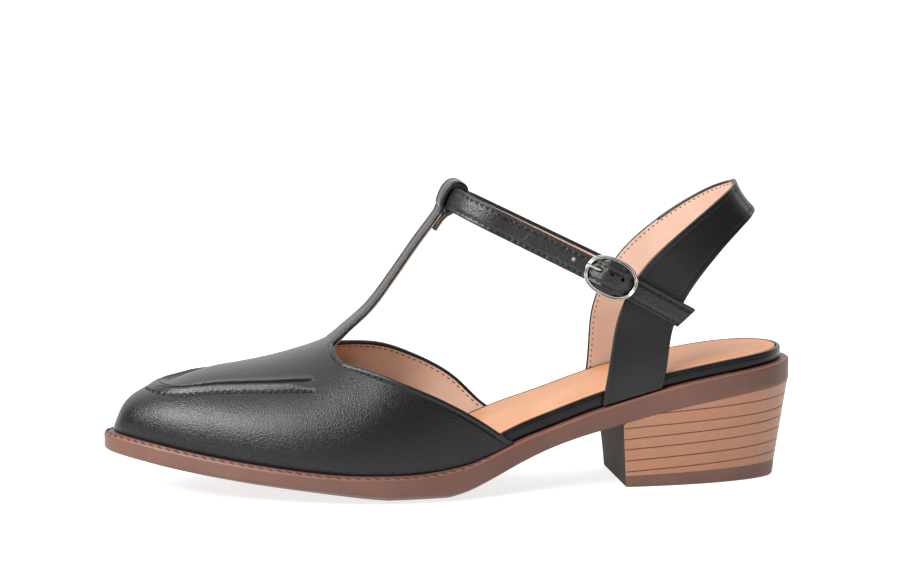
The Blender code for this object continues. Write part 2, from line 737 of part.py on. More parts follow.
def ankle_path():
    """Places along the strap's plane and y, from the sewn end round the loop to the free end."""
    sewn_y = form_half(72.0) + SLING_DEPTH / 2 + CLEARANCE + ANKLE_DEPTH / 2 + 0.3
    path = []
    for along in np.linspace(ANKLE_SEWN_END, ANKLE_APEX + ANKLE_BEND, 9):
        share = (along - ANKLE_APEX - ANKLE_BEND) / (ANKLE_SEWN_END - ANKLE_APEX - ANKLE_BEND)
        path.append((along, ANKLE_BEND + (sewn_y - ANKLE_BEND) * min(1.5 * share, 1.0)))
    for turn in np.linspace(math.pi / 2, -math.pi / 2, 21)[1:]:
        path.append((ANKLE_APEX + ANKLE_BEND * (1.0 - math.cos(turn)), ANKLE_BEND * math.sin(turn)))
    start = ANKLE_APEX + ANKLE_BEND
    clear = BUCKLE_AT - BUCKLE_HALF_LONG
    for along in np.linspace(start, clear, 5)[1:]:
        share = (along - start) / (clear - start)
        path.append((along, -ANKLE_BEND + (BUCKLE_Y + weave(clear) + ANKLE_BEND) * share))
    for along in np.linspace(clear, BUCKLE_AT + BUCKLE_HALF_LONG, 21)[1:]:
        path.append((along, BUCKLE_Y + weave(along)))
    for along in np.linspace(BUCKLE_AT + BUCKLE_HALF_LONG, ANKLE_FREE_END, 5)[1:]:
        path.append((along, BUCKLE_Y + weave(along)))
    return path


def make_ankle_strap():
    places = []
    path = ankle_path()
    leaves = BUCKLE_AT + BUCKLE_HALF_LONG
    for number, (along, y) in enumerate(path):
        on_inner_side = number < len(path) // 2
        share = 0.0 if on_inner_side else max((along - leaves) / (ANKLE_FREE_END - leaves), 0.0)
        slant = ANKLE_SKEW if number == len(path) - 1 else 0.0
        for side in (-1.0, 1.0):
            across = side * ANKLE_WIDTH / 2 - ANKLE_DROOP * share
            places.append(strap_place(along + side * slant, y, across))
    strap = mesh_object("ankle_strap", places, sheet_faces(len(places) // 2, 2))
    thicken(strap, ANKLE_DEPTH, 0.0)
    combine(strap, prong_hole(), "DIFFERENCE")
    return strap


def box_between(name, start, end, y_start, y_end, width, depth):
    """Straight bar along the strap at the prong's level, of a width across the strap."""
    places = []
    for along, y in ((start, y_start), (end, y_end)):
        for across, out in ((-1, -1), (1, -1), (1, 1), (-1, 1)):
            places.append(strap_place(along, y + out * depth / 2, PRONG_RISE + across * width / 2))
    faces = [(0, 1, 2, 3), (4, 5, 6, 7)]
    faces += [(k, (k + 1) % 4, 4 + (k + 1) % 4, 4 + k) for k in range(4)]
    return mesh_object(name, places, faces)


def prong_hole():
    """Punched slot of the strap, left of the buckle's bar."""
    middle = BUCKLE_AT - 0.47 * BUCKLE_HALF_LONG
    hole = box_between("prong_hole", middle - 2.4, middle + 2.4, BUCKLE_Y - 6.0, BUCKLE_Y - 6.0,
                       PRONG_WIDTH + 2 * CLEARANCE, 30.0)
    return cutter(hole)


def wire(name, path, radius, closed, sides=8):
    """Round wire through places given along the strap, y and across."""
    places = np.array([strap_place(*p) for p in path])
    count = len(places)
    normal = np.array((0.0, 1.0, 0.0))
    points = []
    for i in range(count):
        ahead = places[(i + 1) % count] if closed or i < count - 1 else places[i]
        behind = places[i - 1] if closed or i > 0 else places[i]
        tangent = (ahead - behind) / np.linalg.norm(ahead - behind)
        flat = normal - tangent * np.dot(normal, tangent)
        flat /= np.linalg.norm(flat)
        other = np.cross(tangent, flat)
        for k in range(sides):
            turn = 2 * math.pi * k / sides
            points.append(places[i] + radius * (math.cos(turn) * flat + math.sin(turn) * other))
    faces = []
    for i in range(count if closed else count - 1):
        for k in range(sides):
            a = i * sides + k
            b = i * sides + (k + 1) % sides
            c = ((i + 1) % count) * sides + (k + 1) % sides
            d = ((i + 1) % count) * sides + k
            faces.append((a, b, c, d))
    if not closed:
        faces.append(tuple(range(sides)))
        faces.append(tuple(range((count - 1) * sides, count * sides)))
    return mesh_object(name, points, faces)


def make_buckle_frame():
    turns = np.linspace(0.0, 2 * math.pi, 36, endpoint=False)
    oval = []
    for turn in turns:
        along = math.copysign(abs(math.cos(turn)) ** (2 / BUCKLE_FULL), math.cos(turn))
        across = math.copysign(abs(math.sin(turn)) ** (2 / BUCKLE_FULL), math.sin(turn))
        oval.append((BUCKLE_AT + BUCKLE_HALF_LONG * along, BUCKLE_Y,
                     BUCKLE_RISE + BUCKLE_HALF_HIGH * across))
    frame = wire("buckle_frame", oval, BUCKLE_WIRE, True)
    bar = wire("buckle_bar", [(BUCKLE_AT, BUCKLE_Y, BUCKLE_RISE - BUCKLE_HALF_HIGH),
                              (BUCKLE_AT, BUCKLE_Y, BUCKLE_RISE + BUCKLE_HALF_HIGH)], BAR_RADIUS, False)
    combine(frame, cutter(bar), "UNION")
    return frame


def make_buckle_prong():
    turns = np.linspace(0.0, 2 * math.pi, 14, endpoint=False)
    ring = [(BUCKLE_AT + EYE_RADIUS * math.cos(t), BUCKLE_Y + EYE_RADIUS * math.sin(t), PRONG_RISE)
            for t in turns]
    eye_places = np.array([strap_place(*p) for p in ring])
    centre = eye_places.mean(axis=0)
    across = np.array(strap_place(0.0, 0.0, 1.0)) - np.array(strap_place(0.0, 0.0, 0.0))
    points = []
    for place in eye_places:
        out = (place - centre) / np.linalg.norm(place - centre)
        for reach, shift in ((-1, -1), (1, -1), (1, 1), (-1, 1)):
            points.append(place + out * EYE_WIRE * reach + across * shift * PRONG_WIDTH / 2)
    faces = []
    for i in range(len(turns)):
        for k in range(4):
            j = (i + 1) % len(turns)
            faces.append((i * 4 + k, i * 4 + (k + 1) % 4, j * 4 + (k + 1) % 4, j * 4 + k))
    eye = mesh_object("prong_eye", points, faces)
    rest = BUCKLE_Y - BUCKLE_WIRE - CLEARANCE - PRONG_DEPTH / 2
    prong = box_between("buckle_prong", BUCKLE_AT - BUCKLE_HALF_LONG - 0.9, BUCKLE_AT - EYE_RADIUS,
                        rest, BUCKLE_Y, PRONG_WIDTH, PRONG_DEPTH)
    combine(prong, cutter(eye), "UNION")
    return prong


def make_buckle_tab():
    """Short strip from beside the bar to the face of the sling, under the strap."""
    reach = ANKLE_DEPTH / 2 + CLEARANCE + TAB_DEPTH / 2 + 0.15
    places = []
    for along in np.linspace(BUCKLE_AT + BAR_RADIUS + CLEARANCE, BUCKLE_AT + TAB_LENGTH, 14):
        for across in (-TAB_WIDTH / 2, TAB_WIDTH / 2):
            places.append(strap_place(along, BUCKLE_Y + weave(along) + reach * 1.12, across))
    tab = mesh_object("buckle_tab", places, sheet_faces(len(places) // 2, 2))
    thicken(tab, TAB_DEPTH, 0.0)
    slot = box_between("prong_slot", BUCKLE_AT - 2.0, BUCKLE_AT + EYE_RADIUS + EYE_WIRE + CLEARANCE,
                       BUCKLE_Y, BUCKLE_Y, PRONG_WIDTH + 2 * CLEARANCE, 30.0)
    combine(tab, cutter(slot), "DIFFERENCE")
    return tab


for old in list(bpy.data.objects):
    bpy.data.objects.remove(old, do_unlink=True)
PARTS = bpy.data.collections.new(OBJECT_NAME)
CUTTERS = bpy.data.collections.new("cutters")
bpy.context.scene.collection.children.link(PARTS)
bpy.context.scene.collection.children.link(CUTTERS)

colour(make_outsole(), "brown_rubber", (0.20, 0.075, 0.04), 0.5)
colour(make_heel_block(), "stacked_heel", (0.46, 0.25, 0.12), 0.5)
colour(make_top_lift(), "brown_lift", (0.18, 0.065, 0.035), 0.55)
colour(make_footbed(), "black_wrap", (0.012, 0.012, 0.012), 0.35)
colour(make_sock(), "tan_sock", (0.72, 0.40, 0.19), 0.55)
colour(make_upper(), "black_leather", (0.015, 0.015, 0.015), 0.4)
colour(make_sling(), "black_sling", (0.015, 0.015, 0.015), 0.4)
colour(make_ankle_strap(), "black_strap", (0.018, 0.018, 0.018), 0.45)
colour(make_buckle_frame(), "bright_frame", (0.62, 0.60, 0.57), 0.25, 1.0)
colour(make_buckle_prong(), "bright_prong", (0.62, 0.60, 0.57), 0.25, 1.0)
colour(make_buckle_tab(), "black_tab", (0.018, 0.018, 0.018), 0.45)
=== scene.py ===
"""Looks of the left T-strap shoe with a stacked block heel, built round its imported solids.

Sizes are in millimetres. A station is a distance from the tip of the toe along the shoe, y is
across it with the outer side of the foot negative, and height is above the floor.
"""

import math

import bmesh
import bpy
import numpy as np
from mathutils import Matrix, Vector
from mathutils.kdtree import KDTree


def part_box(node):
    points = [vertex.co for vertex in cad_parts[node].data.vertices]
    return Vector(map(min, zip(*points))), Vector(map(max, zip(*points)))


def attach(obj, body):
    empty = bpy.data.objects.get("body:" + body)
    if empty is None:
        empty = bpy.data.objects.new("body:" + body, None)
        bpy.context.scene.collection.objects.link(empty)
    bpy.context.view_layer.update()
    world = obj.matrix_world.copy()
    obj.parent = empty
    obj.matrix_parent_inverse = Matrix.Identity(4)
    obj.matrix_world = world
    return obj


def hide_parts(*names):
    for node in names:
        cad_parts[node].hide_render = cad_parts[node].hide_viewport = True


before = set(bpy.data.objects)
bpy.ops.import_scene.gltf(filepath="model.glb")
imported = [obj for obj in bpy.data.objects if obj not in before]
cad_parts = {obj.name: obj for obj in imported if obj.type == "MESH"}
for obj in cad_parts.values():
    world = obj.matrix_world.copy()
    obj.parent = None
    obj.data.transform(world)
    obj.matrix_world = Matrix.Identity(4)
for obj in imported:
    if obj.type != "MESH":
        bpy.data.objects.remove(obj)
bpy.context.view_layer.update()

# Outsole: one moulded unit of reddish brown rubber from the toe to the heel seat. A welt stands out
# round the forefoot with a channel along its top, the ball has shallow bars across it, and the
# waist rises to the heel. The upper, the footbed and the heel are cemented to it.
MM = 0.001
LENGTH = 255.0
PLAN_SHIFT = 1.64
TOE_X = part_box("outsole")[0].x / MM
SOLE_EDGE_ROUND = 1.3
SOLE_POINTS = 640
TREAD_INSET = 13.0
TREAD_FROM, TREAD_TO = 34.0, 128.0
TREAD_FADE = 4.0
TREAD_MARGIN = 0.07            # share of the width over which a bar runs out at both ends
TREAD_DEPTH = 0.45
TREAD_COLUMNS = 20
TREAD_REPEAT = 5               # rows from one bar to the next
TREAD_BAR = 2                  # rows of a bar
# rings of the underside: inset and share of the edge's rise
UNDER_RINGS = ((TREAD_INSET, 0.0), (10.0, 0.1), (6.5, 0.3), (3.4, 0.72), (2.0, 0.9))
EDGE_TURNS = np.radians((0.0, 22.0, 45.0, 68.0, 90.0))
SIDE_SHARES = (0.3, 0.6)
SIDE_HOLLOW = 0.06
CORNER_DROP = 0.7
# rings of the rounded top edge: inset and drop
CORNER_RINGS = ((0.0, 0.75), (0.02, 0.5), (0.14, 0.27), (0.34, 0.10), (0.6, 0.02), (0.9, 0.0))
# rings of the channel: inset and share of its depth
CHANNEL_RINGS = ((1.05, 0.1), (1.2, 0.65), (1.4, 1.0), (1.9, 1.0), (2.1, 0.65), (2.25, 0.1), (3.0, 0.0))
BEVEL_WIDTH = 0.7
BEVEL_SHARE = 0.6
SLOPE_WIDTH = 2.3
WELT_ENDS = (131.0, 140.0)     # stations over which the welt's channel runs out at the waist
CHANNEL_DEPTH = 0.55
# the rounded top edge carries a painted highlight: these rings are coloured paler and redder, as where the
# edge catches the light
HIGHLIGHT_EDGE_RINGS = (14, 17)          # rings of the rounded top edge, paler and redder than the side
DASH_INSET = 0.62
DASH_PITCH = 3.5
DASH_LENGTH = 3.0
DASH_RADIUS = 0.43
DASH_SLANT = -0.28
DASH_SINK = 0.42
DASH_DROP = 0.02
DASH_LEAN = 0.9                # rise of the surface's normal to 1 outwards
DASH_END = 138.0
DASH_PATH_POINTS = 900
DASH_GLOSS = 0.75
RUBBER_COLOUR = (0.112, 0.048, 0.033, 1.0)
RUBBER_DEEP = (0.098, 0.041, 0.028, 1.0)
# painted highlight of the sole's rounded top edge, paler and redder than the rubber
EDGE_HIGHLIGHT_COLOUR = (0.162, 0.054, 0.034, 1.0)
EDGE_HIGHLIGHT_DEEP = (0.135, 0.042, 0.026, 1.0)
DASH_COLOUR = (0.050, 0.019, 0.012, 1.0)
DASH_DEEP = (0.0350, 0.0133, 0.0084, 1.0)

SOLE_COLUMNS = ("station", "half_width", "swing", "underside", "edge_rise", "corner", "welt", "lip",
                "rim")
SOLE_ROWS = [
    (0.0, 0.0, 2.2, 14.3, 1.3, 21.5, 3.4, 0.8, 26.3),
    (10.0, 16.8, 1.4, 12.8, 1.4, 20.4, 3.4, 0.8, 25.3),
    (20.0, 24.0, 1.0, 11.0, 1.5, 18.8, 3.4, 0.8, 23.8),
    (35.0, 31.1, 0.5, 8.6, 1.7, 16.2, 3.4, 0.8, 21.2),
    (50.0, 36.3, 0.0, 6.4, 1.9, 13.9, 3.4, 0.8, 18.9),
    (70.0, 40.7, -0.8, 3.8, 2.2, 11.3, 3.4, 0.8, 16.3),
    (85.0, 42.2, -1.4, 1.8, 2.4, 9.9, 3.4, 0.8, 14.9),
    (98.0, 42.0, -2.0, 0.2, 2.6, 9.5, 3.4, 0.8, 14.5),
    (110.0, 40.7, -2.5, -0.5, 2.6, 9.6, 3.3, 0.8, 14.7),
    (121.0, 38.6, -2.9, -0.1, 2.5, 10.8, 3.0, 0.8, 16.0),
    (131.0, 35.4, -3.8, 2.3, 2.3, 13.0, 2.4, 0.7, 18.6),
    (140.0, 32.2, -4.6, 6.4, 2.0, 16.6, 1.8, 0.5, 22.6),
    (150.0, 29.3, -4.8, 11.5, 1.5, 20.7, 1.3, 0.4, 26.9),
    (160.0, 27.6, -4.3, 15.9, 1.1, 24.1, 1.2, 0.3, 30.3),
    (175.0, 27.0, -2.5, 21.0, 0.5, 29.0, 1.2, 0.3, 35.2),
    (190.0, 27.5, -0.7, 25.2, 0.0, 33.3, 1.2, 0.3, 39.5),
    (205.0, 27.9, 0.0, 28.9, 0.0, 37.4, 1.2, 0.3, 42.9),
    (220.0, 27.4, 0.0, 31.9, 0.0, 40.5, 1.2, 0.3, 45.8),
    (240.0, 23.0, 0.0, 35.0, 0.0, 43.4, 1.2, 0.3, 48.6),
    (255.0, 0.0, 0.0, 36.5, 0.0, 44.9, 1.2, 0.3, 49.9),
]


def spline(xs, ys):
    """Natural cubic spline through the points of one table column."""
    xs = np.asarray(xs, float)
    ys = np.asarray(ys, float)
    steps = np.diff(xs)
    slopes = np.diff(ys) / steps
    count = len(xs)
    system = np.eye(count)
    right = np.zeros(count)
    for i in range(1, count - 1):
        system[i, i - 1] = steps[i - 1]
        system[i, i] = 2.0 * (steps[i - 1] + steps[i])
        system[i, i + 1] = steps[i]
        right[i] = 6.0 * (slopes[i] - slopes[i - 1])
    bends = np.linalg.solve(system, right)

    def value(x):
        x = np.clip(np.asarray(x, float), xs[0], xs[-1])
        i = np.clip(np.searchsorted(xs, x) - 1, 0, count - 2)
        left = (xs[i + 1] - x) / steps[i]
        back = (x - xs[i]) / steps[i]
        curve = (left ** 3 - left) * bends[i] + (back ** 3 - back) * bends[i + 1]
        return left * ys[i] + back * ys[i + 1] + curve * steps[i] ** 2 / 6.0

    return value


def columns_of(names, rows, measure=None):
    """Splines of all columns of a table over its first column, or over measure(first column)."""
    table = np.asarray(rows, float)
    along = table[:, 0] if measure is None else measure(table[:, 0])
    return {name: spline(along, table[:, k]) for k, name in enumerate(names)}


def sole_angle(station):
    """Angle that spreads stations round the outline, so that toe and heel come out round."""
    return np.arccos(np.clip(1.0 - 2.0 * np.asarray(station, float) / LENGTH, -1.0, 1.0))


SOLE = columns_of(SOLE_COLUMNS, SOLE_ROWS)
PLAN = columns_of(SOLE_COLUMNS, SOLE_ROWS, sole_angle)


def outline(angles, inset):
    """Stations and y of the sole's outline moved inwards; angle 0 is the toe, pi the heel back."""
    def edge(angle):
        turn = np.minimum(angle % (2 * math.pi), 2 * math.pi - angle % (2 * math.pi))
        station = LENGTH * 0.5 * (1.0 - np.cos(turn))
        side = np.where(np.sin(angle) >= 0.0, -1.0, 1.0)
        return station, PLAN["swing"](turn) + side * PLAN["half_width"](turn)

    angles = np.asarray(angles, float)
    step = 1e-3
    tangent = np.array(edge(angles + step)) - np.array(edge(angles - step))
    tangent /= np.linalg.norm(tangent, axis=0)
    station, y = edge(angles)
    inset = inset(station) if callable(inset) else inset
    return station - tangent[1] * inset, y + tangent[0] * inset


def level_ring(angles, inset, height):
    """Ring of the sole's outline at an inset, with its height worked out from the station."""
    station, y = outline(angles, inset)
    return np.column_stack((station, y, height(station)))


def smooth(low, high, x):
    """0 below low, 1 above high, with a soft passage between them."""
    share = np.clip((np.asarray(x, float) - low) / (high - low), 0.0, 1.0)
    return share * share * (3.0 - 2.0 * share)


def unit(vectors):
    return vectors / np.maximum(np.linalg.norm(vectors, axis=-1, keepdims=True), 1e-12)


def underside(station):
    return np.maximum(SOLE["underside"](station), 0.0)


def ring_faces(rings, count, closed=False):
    """Faces between neighbouring rings of equal count, and from the last to the first if closed."""
    faces = []
    for r in range(rings if closed else rings - 1):
        here, there = r * count, (r + 1) % rings * count
        for k in range(count):
            beside = (k + 1) % count
            faces.append((here + k, here + beside, there + beside, there + k))
    return faces


def cap_across(points, faces, first, count, columns, shape):
    """Close a ring by rows of faces between its sides; shape(row, share, place) lifts what is between."""
    def row_of(k):
        left, right = first + k, first + (count - k) % count
        if left == right:
            return [left]
        row = [left]
        for j in range(1, columns):
            share = j / columns
            place = points[left] * (1.0 - share) + points[right] * share
            place[2] += shape(k, share, place)
            row.append(len(points))
            points.append(place)
        return row + [right]

    previous = row_of(0)
    for k in range(1, count // 2 + 1):
        current = row_of(k)
        for j in range(columns):
            if len(previous) == 1:
                faces.append((previous[0], current[j + 1], current[j]))
            elif len(current) == 1:
                faces.append((previous[j], previous[j + 1], current[0]))
            else:
                faces.append((previous[j], previous[j + 1], current[j + 1], current[j]))
        previous = current


def flat_cap(points, faces, first, count):
    """Close a ring by two columns of level faces."""
    cap_across(points, faces, first, count, 2, lambda row, share, place: 0.0)


SHARP_ANGLE = math.radians(38.0)


def piece(name, points, faces, finishes, node=None, zones=None):
    """Object of the shoe from places in millimetres; it stands for a solid where node is given."""
    places = np.asarray(points, float) + (TOE_X, PLAN_SHIFT, 0.0)
    mesh = bpy.data.meshes.new(name)
    mesh.from_pydata((places * MM).tolist(), [], [[int(v) for v in face] for face in faces])
    for finish in finishes:
        mesh.materials.append(finish)
    if zones is not None:
        mesh.polygons.foreach_set("material_index", np.asarray(zones, np.int32))
    form = bmesh.new()
    form.from_mesh(mesh)
    bmesh.ops.recalc_face_normals(form, faces=form.faces)
    form.to_mesh(mesh)
    form.free()
    mesh.shade_smooth()
    mesh.set_sharp_from_angle(angle=SHARP_ANGLE)
    made = bpy.data.objects.new(name, mesh)
    bpy.context.scene.collection.objects.link(made)
    if node is not None:
        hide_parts(node)
    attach(made, "root")
    return made


class Shade:
    """A value inside a material: sums of values add Math nodes to it."""

    def __init__(self, tree, socket=None):
        self.tree = tree
        self.socket = socket

    def node(self, kind, settings, sockets, output=0):
        """Any node: its settings first, then numbers, colours or other values for its sockets."""
        made = self.tree.nodes.new(kind)
        for name, value in settings.items():
            setattr(made, name, value)
        for name, value in sockets.items():
            if isinstance(value, Shade):
                self.tree.links.new(value.socket, made.inputs[name])
            else:
                made.inputs[name].default_value = value
        return Shade(self.tree, made.outputs[output])

    def math(self, operation, *values):
        return self.node("ShaderNodeMath", {"operation": operation}, dict(enumerate(values)))

    def __add__(self, other):
        return self.math("ADD", self, other)

    def __sub__(self, other):
        return self.math("SUBTRACT", self, other)

    def __rsub__(self, other):
        return self.math("SUBTRACT", other, self)

    def __mul__(self, other):
        return self.math("MULTIPLY", self, other)

    def __abs__(self):
        return self.math("ABSOLUTE", self)

    __radd__ = __add__
    __rmul__ = __mul__

    def ramp(self, low, high):
        """0 at low and 1 at high, softly; low may be the larger one."""
        return self.node("ShaderNodeMapRange", {"interpolation_type": "SMOOTHSTEP"},
                         {"Value": self, "From Min": low, "From Max": high})

    def blend(self, first, second):
        """Colour between two colours, with this value as the share of the second."""
        return self.node("ShaderNodeMix", {"data_type": "RGBA"}, {0: self, 6: first, 7: second}, 2)

    def places(self, scale=(1.0, 1.0, 1.0)):
        """Places on the piece in millimetres, stretched by a scale."""
        spot = self.node("ShaderNodeTexCoord", {}, {}, "Object")
        return self.node("ShaderNodeVectorMath", {"operation": "MULTIPLY"},
                         {0: spot, 1: tuple(s / MM for s in scale)})

    def height(self):
        return self.node("ShaderNodeSeparateXYZ", {}, {0: self.places()}, "Z")

    def length(self):
        return self.node("ShaderNodeSeparateXYZ", {}, {0: self.places()}, "X")

    def cloud(self, scale, detail=3.0, stretch=(1.0, 1.0, 1.0)):
        """Soft noise with scale lumps to a millimetre."""
        return self.node("ShaderNodeTexNoise", {},
                         {"Vector": self.places(stretch), "Scale": scale, "Detail": detail})

    def cells(self, scale, feature="F1"):
        """Distance from the middles of irregular cells, scale of them to a millimetre."""
        return self.node("ShaderNodeTexVoronoi", {"feature": feature},
                         {"Vector": self.places(), "Scale": scale}, "Distance")

    def relief(self, depth):
        """Surface normal with this value as relief of a depth in millimetres."""
        return self.node("ShaderNodeBump", {},
                         {"Height": self, "Strength": 1.0, "Distance": depth * MM})


def finish(name, sockets):
    """Material whose shader sockets come from sockets(shade)."""
    material = bpy.data.materials.new(name)
    material.use_nodes = True
    shader = material.node_tree.nodes["Principled BSDF"]
    for socket, value in sockets(Shade(material.node_tree)).items():
        if isinstance(value, Shade):
            material.node_tree.links.new(value.socket, shader.inputs[socket])
        else:
            shader.inputs[socket].default_value = value
    return material


def rubber(light, deep, gloss=0.44):
    def sockets(shade):
        mottle = shade.cloud(0.09, 4.0).ramp(0.35, 0.68)
        speck = shade.cells(2.2).ramp(0.10, 0.22)
        skin = shade.cloud(3.2, 2.0)
        return {
            "Base Color": speck.blend(deep, mottle.blend(deep, light)),
            "Roughness": gloss + 0.16 * skin,
            "Normal": (skin + 0.5 * shade.cloud(0.6)).relief(0.035),
            "IOR": 1.48,
        }
    return sockets


def welt_share(station):
    return 1.0 - smooth(*WELT_ENDS, station)


def sole_top(station, inset):
    """Top of the sole's edge: a short bevel, then a gentle rise to the upper."""
    bevel = BEVEL_SHARE * np.clip(inset / BEVEL_WIDTH, 0.0, 1.0)
    slope = (1.0 - BEVEL_SHARE) * np.clip((inset - BEVEL_WIDTH) / SLOPE_WIDTH, 0.0, 1.0)
    return SOLE["corner"](station) + SOLE["lip"](station) * (bevel + slope)


def make_outsole():
    angles = np.linspace(0.0, 2 * math.pi, SOLE_POINTS, endpoint=False)
    rings = []

    def edge(station, share=1.0):
        return underside(station) + SOLE["edge_rise"](station) * share

    for inset, share in UNDER_RINGS:
        rings.append(level_ring(angles, inset, lambda s: edge(s, share)))
    for turn in EDGE_TURNS:
        inset = SOLE_EDGE_ROUND * (1.0 - math.sin(turn))
        lift = SOLE_EDGE_ROUND * (1.0 - math.cos(turn))
        rings.append(level_ring(angles, inset, lambda s: edge(s) + lift))
    for share in SIDE_SHARES:
        def side(station):
            low = edge(station) + SOLE_EDGE_ROUND
            return low + (SOLE["corner"](station) - CORNER_DROP - low) * share
        rings.append(level_ring(angles, SIDE_HOLLOW, side))
    for inset, drop in CORNER_RINGS:
        rings.append(level_ring(angles, inset, lambda s: sole_top(s, inset) - drop))
    for inset, share in CHANNEL_RINGS:
        rings.append(level_ring(
            angles, inset, lambda s: sole_top(s, inset) - share * CHANNEL_DEPTH * welt_share(s)))
    points = [p for ring in rings for p in ring]
    faces = ring_faces(len(rings), SOLE_POINTS)
    zones = [1 if k // SOLE_POINTS in range(*HIGHLIGHT_EDGE_RINGS) else 0 for k in range(len(faces))]

    def tread(row, share, place):
        if row % TREAD_REPEAT >= TREAD_BAR:
            return 0.0
        begun = smooth(TREAD_FROM, TREAD_FROM + TREAD_FADE, place[0])
        ended = smooth(TREAD_TO - TREAD_FADE, TREAD_TO, place[0])
        margin = smooth(0.0, TREAD_MARGIN, share) * smooth(0.0, TREAD_MARGIN, 1.0 - share)
        return TREAD_DEPTH * begun * (1.0 - ended) * margin

    cap_across(points, faces, 0, SOLE_POINTS, TREAD_COLUMNS, tread)
    flat_cap(points, faces, (len(rings) - 1) * SOLE_POINTS, SOLE_POINTS)
    return points, faces, zones + [0] * (len(faces) - len(zones))


def tree_of(places):
    tree = KDTree(len(places))
    for k, place in enumerate(places):
        tree.insert(Vector(place), k)
    tree.balance()
    return tree


def normal_near(places, normals):
    """Function that gives the normal at the nearest one of some places."""
    tree = tree_of(places)
    return lambda place: normals[tree.find(Vector(place))[1]]


def run_along(path):
    """Distances of a path's points from its start, measured along it."""
    return np.concatenate(([0.0], np.cumsum(np.linalg.norm(np.diff(path, axis=0), axis=1))))


def places_at(stops, run, path):
    """Places on a path at distances from its start."""
    return np.column_stack([np.interp(stops, run, column) for column in np.transpose(path)])


WAY_REACH = 0.3                # distance on both sides of a place over which its direction is taken


def resample(path, pitch):
    """Places at even distances along a path, and the directions there."""
    path = np.asarray(path, float)
    run = run_along(path)
    count = max(int(run[-1] / pitch), 1)
    stops = (np.arange(count) + 0.5) * run[-1] / count
    ways = places_at(stops + WAY_REACH, run, path) - places_at(stops - WAY_REACH, run, path)
    return places_at(stops, run, path), unit(ways)


# rings of a stitch: share of its length, share of its radius and lift in radii
STITCH_RINGS = ((-0.5, 0.30, -0.35), (-0.36, 0.80, -0.05), (-0.12, 1.0, 0.10),
                (0.12, 1.0, 0.10), (0.36, 0.80, -0.05), (0.5, 0.30, -0.35))
STITCH_SIDES = 6
STITCH_FLAT = 0.75             # height of a stitch's section to its width


def add_stitches(points, faces, path, normal_at, pitch, length, radius, slant=0.0, sink=0.15):
    """Row of short rounded stitches along a path, lying on the surface whose normals are given."""
    places, ways = resample(path, pitch)
    for place, way in zip(places, ways):
        up = normal_at(place)
        across = unit(np.cross(up, way))
        along = unit(way * math.cos(slant) + across * math.sin(slant))
        across = unit(np.cross(up, along))
        first = len(points)
        for share, full, lift in STITCH_RINGS:
            for k in range(STITCH_SIDES):
                turn = 2 * math.pi * k / STITCH_SIDES
                points.append(place + along * length * share
                              + across * radius * full * math.cos(turn)
                              + up * radius * (STITCH_FLAT * full * math.sin(turn) + lift - sink))
        made = ring_faces(len(STITCH_RINGS), STITCH_SIDES)
        faces += [tuple(v + first for v in face) for face in made]
        last = first + (len(STITCH_RINGS) - 1) * STITCH_SIDES
        faces.append(tuple(range(first, first + STITCH_SIDES)))
        faces.append(tuple(range(last, last + STITCH_SIDES)))


brown_rubber = finish("brown_rubber", rubber(RUBBER_COLOUR, RUBBER_DEEP))
dash_rubber = finish("dark_dashes", rubber(DASH_COLOUR, DASH_DEEP, DASH_GLOSS))
# the rubber of the top edge's rings, with its painted highlight
edge_highlight_rubber = finish("edge_highlight_rubber", rubber(EDGE_HIGHLIGHT_COLOUR, EDGE_HIGHLIGHT_DEEP))
sole_points, sole_faces, sole_zones = make_outsole()
piece("moulded_outsole", sole_points, sole_faces, [brown_rubber, edge_highlight_rubber], node="outsole",
      zones=sole_zones)

dash_turns = np.linspace(-sole_angle(DASH_END), sole_angle(DASH_END), DASH_PATH_POINTS)
dash_path = level_ring(dash_turns, DASH_INSET, lambda s: sole_top(s, DASH_INSET) - DASH_DROP)
dash_out = np.array(outline(dash_turns, 0.0)) - np.array(outline(dash_turns, 1.0))
dash_normals = unit(np.column_stack((*dash_out, np.full(DASH_PATH_POINTS, DASH_LEAN))))
dash_points, dash_faces = [], []
add_stitches(dash_points, dash_faces, dash_path, normal_near(dash_path, dash_normals), DASH_PITCH,
             DASH_LENGTH, DASH_RADIUS, DASH_SLANT, DASH_SINK)
piece("welt_dashes", dash_points, dash_faces, [dash_rubber])

# Heel block: layers of tan board pressed together, turned and sanded to one tapered block, with fine
# dark joints between the layers. Its front face is coloured far darker than the sole's brown: painted
# shade for the shadow it stands in. It is nailed and glued under the heel seat of the outsole.
BREAST = 187.6
HEEL_FLOOR_FRONT = 189.9
HEEL_FLOOR_BACK = 249.8
HEEL_FLOOR_HALF = 22.3
HEEL_FLOOR_SHIFT = 1.2
HEEL_TOP_INSET = 0.3
HEEL_LOW_SHARE = 0.87
HEEL_CORNER = 0.7
HEEL_GLUE = 0.04
HEEL_LIP = 0.40                # the sides reach up into the rounded edge of the sole
HEEL_LIP_WIDTH = 1.1
LIFT_FRONT = 4.3
LIFT_BACK = 6.2
HEEL_SIDE_POINTS = 180
HEEL_FRONT_POINTS = 18
HEEL_LEVELS = 150
HEEL_FINE = 400                # points of the rings before they are spread evenly
HEEL_SEARCH = 1600
CORNER_STOPS = (0.25, 0.5, 0.75)
LAYER_JOINTS = ((27.5, 32.0), (23.0, 27.0), (18.7, 23.2), (14.6, 18.9), (10.2, 14.2), (5.9, 9.7))
JOINT_DEPTH = 0.16
JOINT_WIDTH = 0.17
JOINT_LINE = (0.34, 0.10)      # distances from a joint at which its dark line begins and is full
LAYER_COLOUR = (0.337, 0.146, 0.075, 1.0)
LAYER_DEEP = (0.276, 0.116, 0.058, 1.0)
JOINT_COLOUR = (0.060, 0.019, 0.010, 1.0)
# front face of heel and lift: a brown with painted shade, much darker than the sole's rubber
FRONT_SHADE_COLOUR = (0.040, 0.022, 0.016, 1.0)
FRONT_SHADE_DEEP = (0.028, 0.015, 0.011, 1.0)


